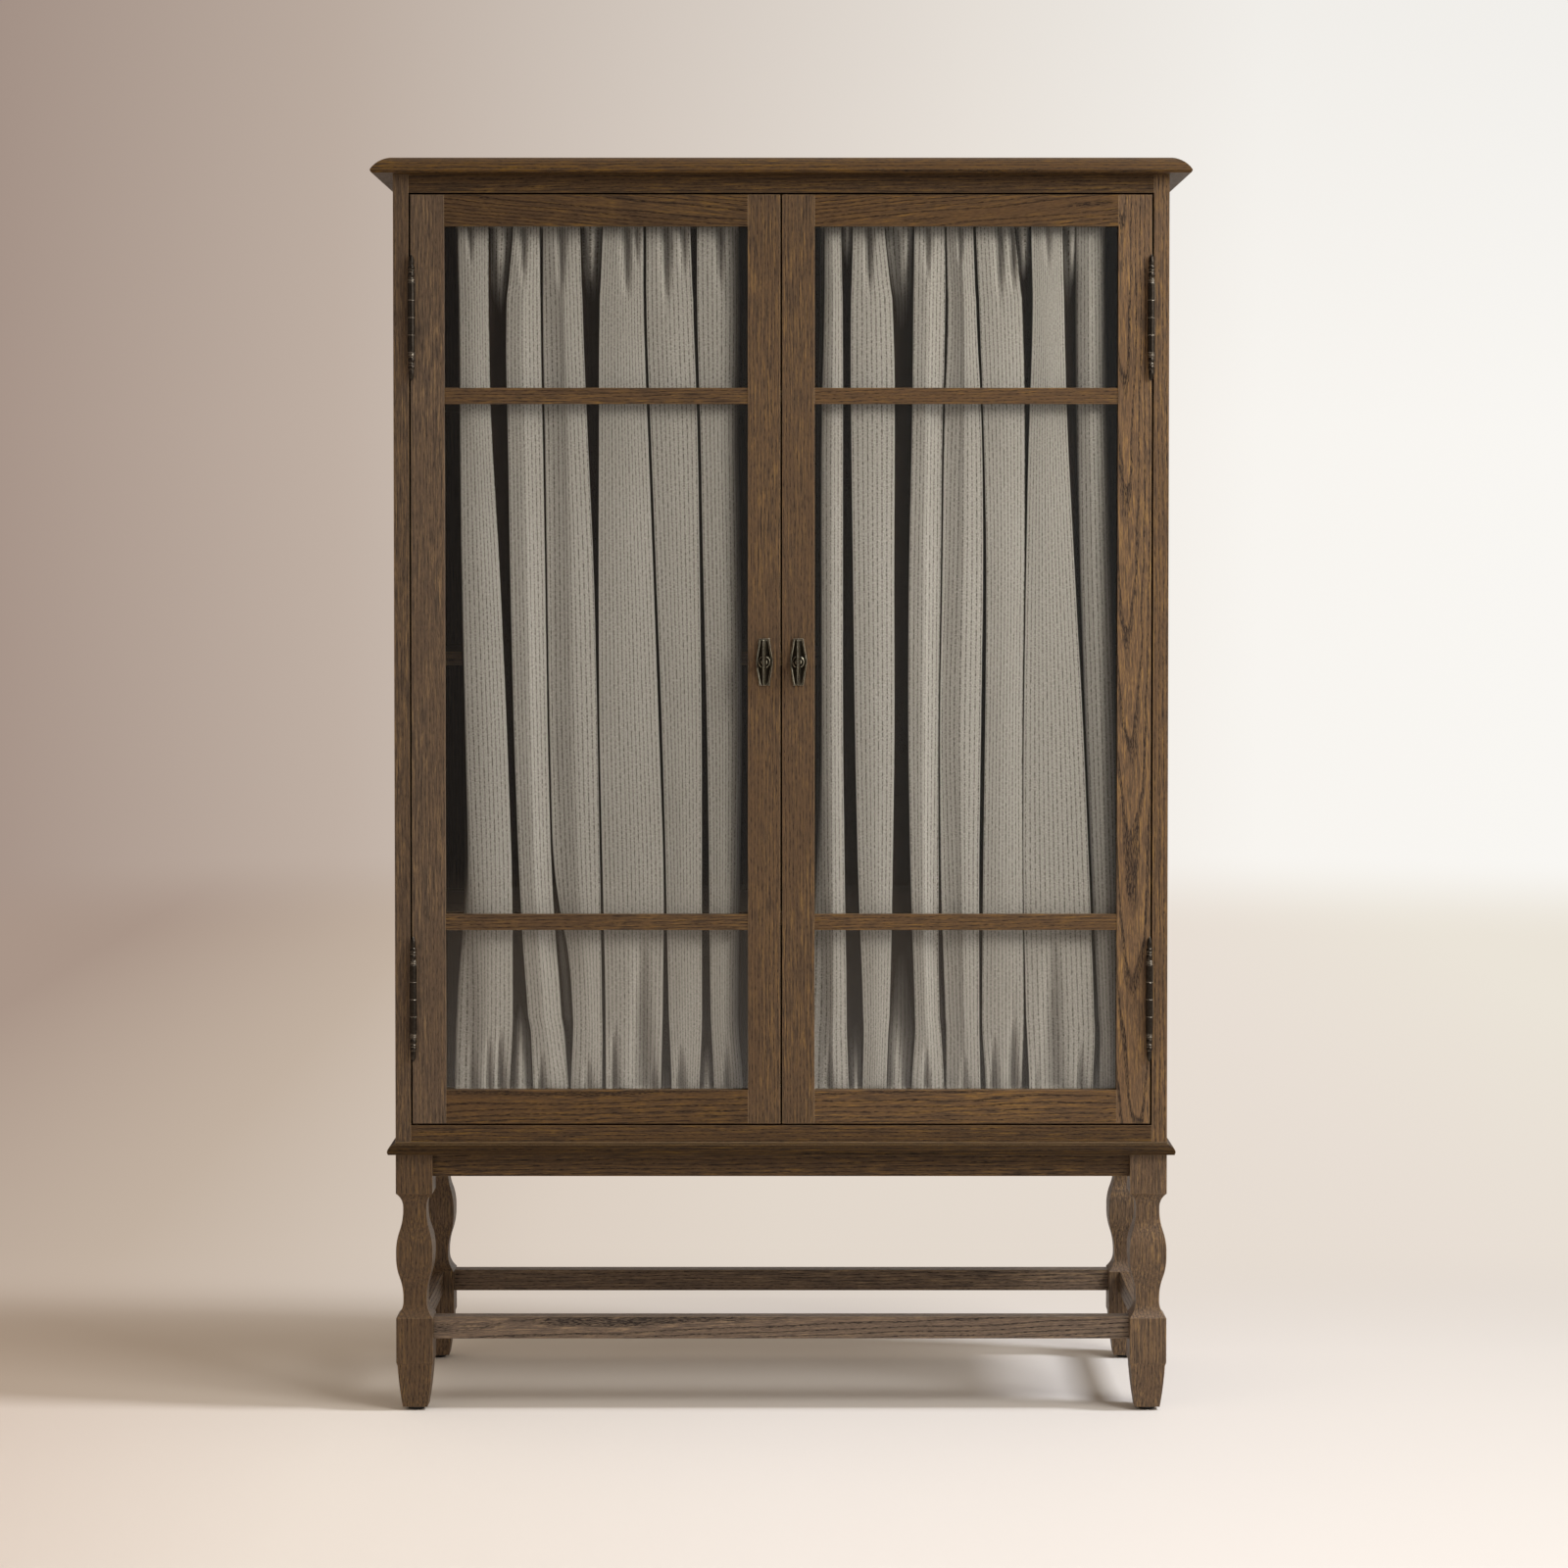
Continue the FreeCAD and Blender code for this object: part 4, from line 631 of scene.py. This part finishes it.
def clothRows(folds, gathers):  # points of the cloth, row by row from its top, in mm
    top = curtain["rodHigh"] - curtain["pocketDrop"]
    bottom = curtain["rodLow"] + curtain["pocketDrop"]
    run = curtain["gatherRun"]
    z = np.concatenate([np.linspace(top, top - run, curtain["seamRows"]),
                        np.linspace(top - run, bottom + run, curtain["hangRows"])[1:-1],
                        np.linspace(bottom + run, bottom, curtain["seamRows"])])
    control = crossSection(folds, z)
    # a smooth line through the control points, finer on the fronts where the gathers are
    spans = control.shape[1] - 1
    columns = []
    for k in range(spans):
        a, b = control[:, max(k - 1, 0)], control[:, k]
        c, d = control[:, k + 1], control[:, min(k + 2, spans)]
        onFront = k % 10 in (2, 3, 4, 5)  # a fold and its valley have ten points
        steps = curtain["frontSteps"] if onFront else curtain["wallSteps"]
        for t in np.arange(steps) / steps:
            columns.append(0.5 * (2 * b + (c - a) * t + (2 * a - 5 * b + 4 * c - d) * t ** 2
                                  + (3 * b - a - 3 * c + d) * t ** 3))
    columns.append(control[:, -1])
    grid = np.stack(columns, axis=1)
    x, y = grid[:, :, 0], grid[:, :, 1]
    middle = curtain["rodDepth"]
    grow = np.clip(np.minimum(top - z, z - bottom) / run, 0, 1)
    share = curtain["gatherShare"]
    grow = share + (1 - share) * grow * grow * (3 - 2 * grow)
    y = middle + (y - middle) * grow[:, None]
    narrow, seam = curtain["gatherNarrow"], curtain["gatherSeam"]
    held = seam + (1 - seam) * grow[:, None]
    for end, line in (("top", top - z), ("bottom", z - bottom)):
        for place, depth, half, length in gathers[end]:
            left = np.clip(1 - line / length, 0, 1)[:, None]
            width = curtain["gatherWidth"] * half * (narrow + (1 - narrow) * left)
            y = y + curtain["gatherDepth"] * depth * left ** curtain["gatherFade"] \
                * np.exp(-((x - place) / width) ** 2) * held
    nearest = curtain["front"] - curtain["spare"][0]
    furthest = curtain["back"] + curtain["spare"][1]
    y = np.clip(y, nearest, furthest)
    # slow unevenness of cloth that hangs free
    across, down = curtain["unevenAcross"], curtain["unevenDown"]
    y = y + curtain["uneven"] * np.sin(x / across[0] + z[:, None] / down[0]) \
        * np.sin(z[:, None] / down[1] + x / across[1])
    y = np.clip(y, nearest, furthest)

    def pocket(rod, line, up):  # round the rod and back down to the seam
        offset = line[1] - middle
        ripple = (offset - offset.min()) / (offset.max() - offset.min())
        radius = curtain["pocketRadius"] + curtain["pocketRipple"] * ripple
        rows = []
        for angle in curtain["pocketAngles"]:
            around = math.radians(angle)
            rows.append((line[0], middle - radius * math.cos(around),
                         rod + up * radius * math.sin(around)))
        rows.append((line[0], line[1] + curtain["hemBehind"],
                     0 * line[0] + rod - up * (curtain["pocketDrop"] - curtain["hemLap"])))
        return rows

    rows = [(x[k], y[k], 0 * x[k] + z[k]) for k in range(len(z))]
    before = pocket(curtain["rodHigh"], (x[0], y[0]), 1)[::-1]
    after = pocket(curtain["rodLow"], (x[-1], y[-1]), -1)
    return np.array(before + rows + after), len(before), len(after)


def closedIn(place, headRows, footRows):  # how far the folds beside each point close it in, 0 to 1, which the linen turns into painted shade
    shade = np.zeros(place.shape[:2])
    top, bottom = place[headRows, 0, 2], place[-footRows, 0, 2]
    for k in range(headRows - 1, len(place) - footRows + 1):
        x, y = place[k, :, 0], place[k, :, 1]
        across = x[None, :] - x[:, None]
        ahead = np.arctan2(np.maximum(y[:, None] - y[None, :], 0),
                           np.abs(across) + curtain["shadeBlur"])
        left = np.cos(np.where(across < 0, ahead, 0).max(axis=1))
        right = np.cos(np.where(across > 0, ahead, 0).max(axis=1))
        fromEnd = min(top - place[k, 0, 2], place[k, 0, 2] - bottom)
        depth = np.interp(fromEnd, curtain["shadeRun"], curtain["shadeDepth"])
        shade[k] = (1 - (left + right) / 2) * depth
    return np.clip(shade, 0, 1)


def makeCurtain(name, node, body, folds, gathers):
    points, headRows, footRows = clothRows(folds, gathers)
    rows, columns = points.shape[0], points.shape[2]
    place = points.transpose(0, 2, 1)
    mesh = bpy.data.meshes.new(name)
    index = np.arange(rows * columns).reshape(rows, columns)
    quads = np.stack([index[:-1, :-1], index[1:, :-1], index[1:, 1:], index[:-1, 1:]], axis=2)
    mesh.from_pydata((place.reshape(-1, 3) / 1000).tolist(), [], quads.reshape(-1, 4).tolist())
    # lengths along and down the cloth, for its threads
    stepsAcross = np.linalg.norm(np.diff(place[:, :, :2], axis=1), axis=2)
    along = np.concatenate([[0], np.cumsum(stepsAcross.mean(axis=0))])
    stepsDown = np.linalg.norm(np.diff(place[:, :, 1:], axis=0), axis=2).mean(axis=1)
    down = np.concatenate([[0], np.cumsum(stepsDown)])
    uv = np.stack(np.broadcast_arrays(along[None, :], down[:, None]), axis=2).reshape(-1, 2) / 1000
    layer = mesh.uv_layers.new(name="threads")
    corner = np.zeros(len(mesh.loops), dtype=np.int32)
    mesh.loops.foreach_get("vertex_index", corner)
    layer.data.foreach_set("uv", uv[corner].ravel())
    # the valleys' painted shade, which the linen reads
    shade = mesh.attributes.new("valley", "FLOAT", "POINT")
    shade.data.foreach_set("value", closedIn(place, headRows, footRows).ravel())
    mesh.polygons.foreach_set("use_smooth", [True] * len(mesh.polygons))
    piece = bpy.data.objects.new(name, mesh)
    bpy.context.scene.collection.objects.link(piece)
    mesh.materials.append(linenFace)
    mesh.materials.append(linenBack)
    thickness = piece.modifiers.new("thickness", "SOLIDIFY")
    thickness.thickness = curtain["thickness"] / 1000
    thickness.offset = 0
    thickness.material_offset = 1
    thickness.material_offset_rim = 1
    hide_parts(node)
    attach(piece, body)


makeCurtain("left_curtain", "left_door_curtain", "left_door",
            leftFolds, leftGathers)
makeCurtain("right_curtain", "right_door_curtain", "right_door",
            rightFolds, rightGathers)


def seenRays(tree, rays):  # 1 for what the camera sees straight, through glass or in a shine
    straight = addNode(tree, "ShaderNodeMath", {"operation": "MAXIMUM"},
                       {0: rays["Is Camera Ray"], 1: rays["Is Transmission Ray"]})
    return addNode(tree, "ShaderNodeMath", {"operation": "MAXIMUM"},
                   {0: straight.outputs[0], 1: rays["Is Glossy Ray"]}).outputs[0]


# Floor: seamless matt ground that holds the cabinet's shadow, and fades into the backdrop behind;
# behind the cabinet it glows as painted light
ground = {
    "radius": 12.0, "fadeFrom": 7.0, "fadeTo": 10.5,  # metres
    # painted light: the colours across, from left to right, stand in for how the light falls on the
    # ground
    "near": [(0.0, "#d8cdc3"), (0.25, "#e0dad2"), (0.5, "#dcd8d3"), (0.75, "#d4d1cd"),
             (1.0, "#cac8c4")],  # from the left to the right
    "far": [(0.0, "#a99588"), (0.22, "#c2b1a1"), (0.40, "#dccfc2"), (0.5, "#e2d7cb"),
            (0.78, "#e8ded4"), (1.0, "#ebe4d8")],
    "nearHalf": 1.3, "farHalf": 2.2,  # metres each side that the colours cover
    "blendFrom": 0.22, "blendTo": 1.2,  # metres behind the cabinet's middle
    "roughness": 0.9, "specular": 0.1,
}
mesh = bpy.data.meshes.new("floor")
disc = bmesh.new()
bmesh.ops.create_circle(disc, cap_ends=True, segments=96, radius=ground["radius"])
disc.to_mesh(mesh)
disc.free()
floor = bpy.data.objects.new("floor", mesh)
bpy.context.scene.collection.objects.link(floor)
floorPaint, tree = newMaterial("mattFloorPaint")
place = addNode(tree, "ShaderNodeTexCoord").outputs["Object"]
sides = addNode(tree, "ShaderNodeSeparateXYZ", {}, {0: place})
colours = {}
for reach in ("near", "far"):
    half = ground[reach + "Half"]
    share = addNode(tree, "ShaderNodeMapRange", {"From Min": -half, "From Max": half},
                    {"Value": sides.outputs[0]})
    colours[reach] = addNode(tree, "ShaderNodeValToRGB", {"stops": ground[reach]},
                             {"Fac": share.outputs[0]}).outputs["Color"]
paint = addNode(tree, "ShaderNodeBsdfPrincipled", {
    "Roughness": ground["roughness"], "Specular IOR Level": ground["specular"]},
    {"Base Color": colours["near"]})
# painted light: behind the cabinet the ground glows in its far colours for rays seen straight,
# through glass or in a shine
paintedFloorGlow = addNode(tree, "ShaderNodeEmission", {"Strength": 1.0}, {"Color": colours["far"]})
seen = seenRays(tree, addNode(tree, "ShaderNodeLightPath").outputs)
blend = addNode(tree, "ShaderNodeMapRange", {
    "From Min": ground["blendFrom"], "From Max": ground["blendTo"],
    "interpolation_type": "SMOOTHSTEP"}, {"Value": sides.outputs[1]})
distant = addNode(tree, "ShaderNodeMath", {"operation": "MULTIPLY"},
                  {0: blend.outputs[0], 1: seen})
laid = addNode(tree, "ShaderNodeMixShader", {}, {
    0: distant.outputs[0], 1: paint.outputs[0], 2: paintedFloorGlow.outputs[0]})
length = addNode(tree, "ShaderNodeVectorMath", {"operation": "LENGTH"}, {0: place})
fade = addNode(tree, "ShaderNodeMapRange", {
    "From Min": ground["fadeFrom"], "From Max": ground["fadeTo"],
    "interpolation_type": "SMOOTHSTEP"}, {"Value": length.outputs["Value"]})
clear = addNode(tree, "ShaderNodeBsdfTransparent")
faded = addNode(tree, "ShaderNodeMixShader", {}, {
    0: fade.outputs[0], 1: laid.outputs[0], 2: clear.outputs[0]})
addNode(tree, "ShaderNodeOutputMaterial", {}, {"Surface": faded.outputs[0]})
floor.data.materials.append(floorPaint)

# Backdrop: darker and pinker at the left, near white at the right, as a world colour: painted
# light, the studio's light falling off to the left. Depths and heights are those of a direction one
# metre long; a depth below nothing is before the cabinet
backdrop = {
    "stops": [(0.0, "#a69388"), (0.22, "#bfafa3"), (0.42, "#d8cdc3"), (0.62, "#ece5dd"),
              (0.80, "#f8f5f0"), (1.0, "#f9f7f3")],
    "halfWidth": 0.205,  # tangent of the view's half angle
    "top": 0.92, "topHeights": (0.03, 0.16),  # share of its brightness that is left high up
    "dimFront": 0.03, "dimDepths": (0.2, -0.7),  # share left in front, where the room is dim
    "throughGlass": 0.55,  # least share left of what is seen through a pane
    "ambient": "#ffead4",  # the light from all round
    "ambientStrength": 0.48, "frontStrength": 0.55, "frontDepths": (0.3, -0.9),
}
world = bpy.data.worlds.new("studio")
bpy.context.scene.world = world
world.use_nodes = True
tree = world.node_tree
tree.nodes.clear()
direction = addNode(tree, "ShaderNodeTexCoord").outputs["Generated"]
parts = addNode(tree, "ShaderNodeSeparateXYZ", {}, {0: direction})
sideways = addNode(tree, "ShaderNodeMapRange", {
    "From Min": -backdrop["halfWidth"], "From Max": backdrop["halfWidth"]},
    {"Value": parts.outputs[0]})
sweep = addNode(tree, "ShaderNodeValToRGB", {"stops": backdrop["stops"]},
                {"Fac": sideways.outputs[0]})
rays = addNode(tree, "ShaderNodeLightPath").outputs
seen = seenRays(tree, rays)
# the room in front of the cabinet is dim, so that its glass stays clear
front = addNode(tree, "ShaderNodeMapRange", {
    "From Min": backdrop["dimDepths"][0], "From Max": backdrop["dimDepths"][1],
    "To Min": 1.0, "To Max": backdrop["dimFront"]}, {"Value": parts.outputs[1]})
through = addNode(tree, "ShaderNodeMath", {"operation": "MULTIPLY", 1: backdrop["throughGlass"]},
                  {0: rays["Is Transmission Ray"]})
lit = addNode(tree, "ShaderNodeMath", {"operation": "MAXIMUM"},
              {0: rays["Is Camera Ray"], 1: through.outputs[0]})
dim = addNode(tree, "ShaderNodeMath", {"operation": "MAXIMUM"},
              {0: front.outputs[0], 1: lit.outputs[0]})
high = addNode(tree, "ShaderNodeMapRange", {
    "From Min": backdrop["topHeights"][0], "From Max": backdrop["topHeights"][1],
    "To Min": 1.0, "To Max": backdrop["top"]}, {"Value": parts.outputs[2]})
strength = addNode(tree, "ShaderNodeMath", {"operation": "MULTIPLY"},
                   {0: dim.outputs[0], 1: high.outputs[0]})
shown = addNode(tree, "ShaderNodeBackground", {},
                {"Color": sweep.outputs["Color"], "Strength": strength.outputs[0]})
# more light comes from the front than from above, so that the floor's shadow stays deep
facing = addNode(tree, "ShaderNodeMapRange", {
    "From Min": backdrop["frontDepths"][0], "From Max": backdrop["frontDepths"][1],
    "To Min": backdrop["ambientStrength"], "To Max": backdrop["frontStrength"]},
    {"Value": parts.outputs[1]})
ambient = addNode(tree, "ShaderNodeBackground", {"Color": linear(backdrop["ambient"])},
                  {"Strength": facing.outputs[0]})
mixed = addNode(tree, "ShaderNodeMixShader", {}, {
    0: seen, 1: ambient.outputs[0], 2: shown.outputs[0]})
addNode(tree, "ShaderNodeOutputWorld", {}, {"Surface": mixed.outputs[0]})
print("floor and backdrop made")

# Soft boxes: a wide one high in front at the right, a narrow one further up at the right that draws
# the shadow on the floor, and a faint upright strip at the left that lifts that side of the cabinet
lamps = {
    "front_right_box": {
        "place": (2.6, -2.3, 2.8), "aim": (0.1, 0, 1.0), "size": (1.8, 1.4),  # metres
        "watts": 91, "colour": "#fffcf8", "spread": 180},
    "top_right_box": {
        "place": (3.6, -0.75, 5.6), "aim": (0, 0, 0.6), "size": (0.7, 1.6),
        "watts": 278, "colour": "#f6f8ff", "spread": 180},
    "left_strip_box": {
        "place": (-2.5, -2.5, 1.7), "aim": (-0.3, 0, 1.4), "size": (0.25, 1.6),
        "watts": 1.0, "colour": "#f8f8f8", "spread": 70},  # degrees
}
for name, lamp in lamps.items():
    data = bpy.data.lights.new(name, "AREA")
    data.shape = "RECTANGLE"
    data.size, data.size_y = lamp["size"]
    data.energy = lamp["watts"]
    data.color = linear(lamp["colour"])[:3]
    data.spread = math.radians(lamp["spread"])
    light = bpy.data.objects.new(name, data)
    light.location = lamp["place"]
    aim = Vector(lamp["aim"]) - Vector(lamp["place"])
    light.rotation_euler = aim.to_track_quat("-Z", "Y").to_euler()
    bpy.context.scene.collection.objects.link(light)
print("lamps set")
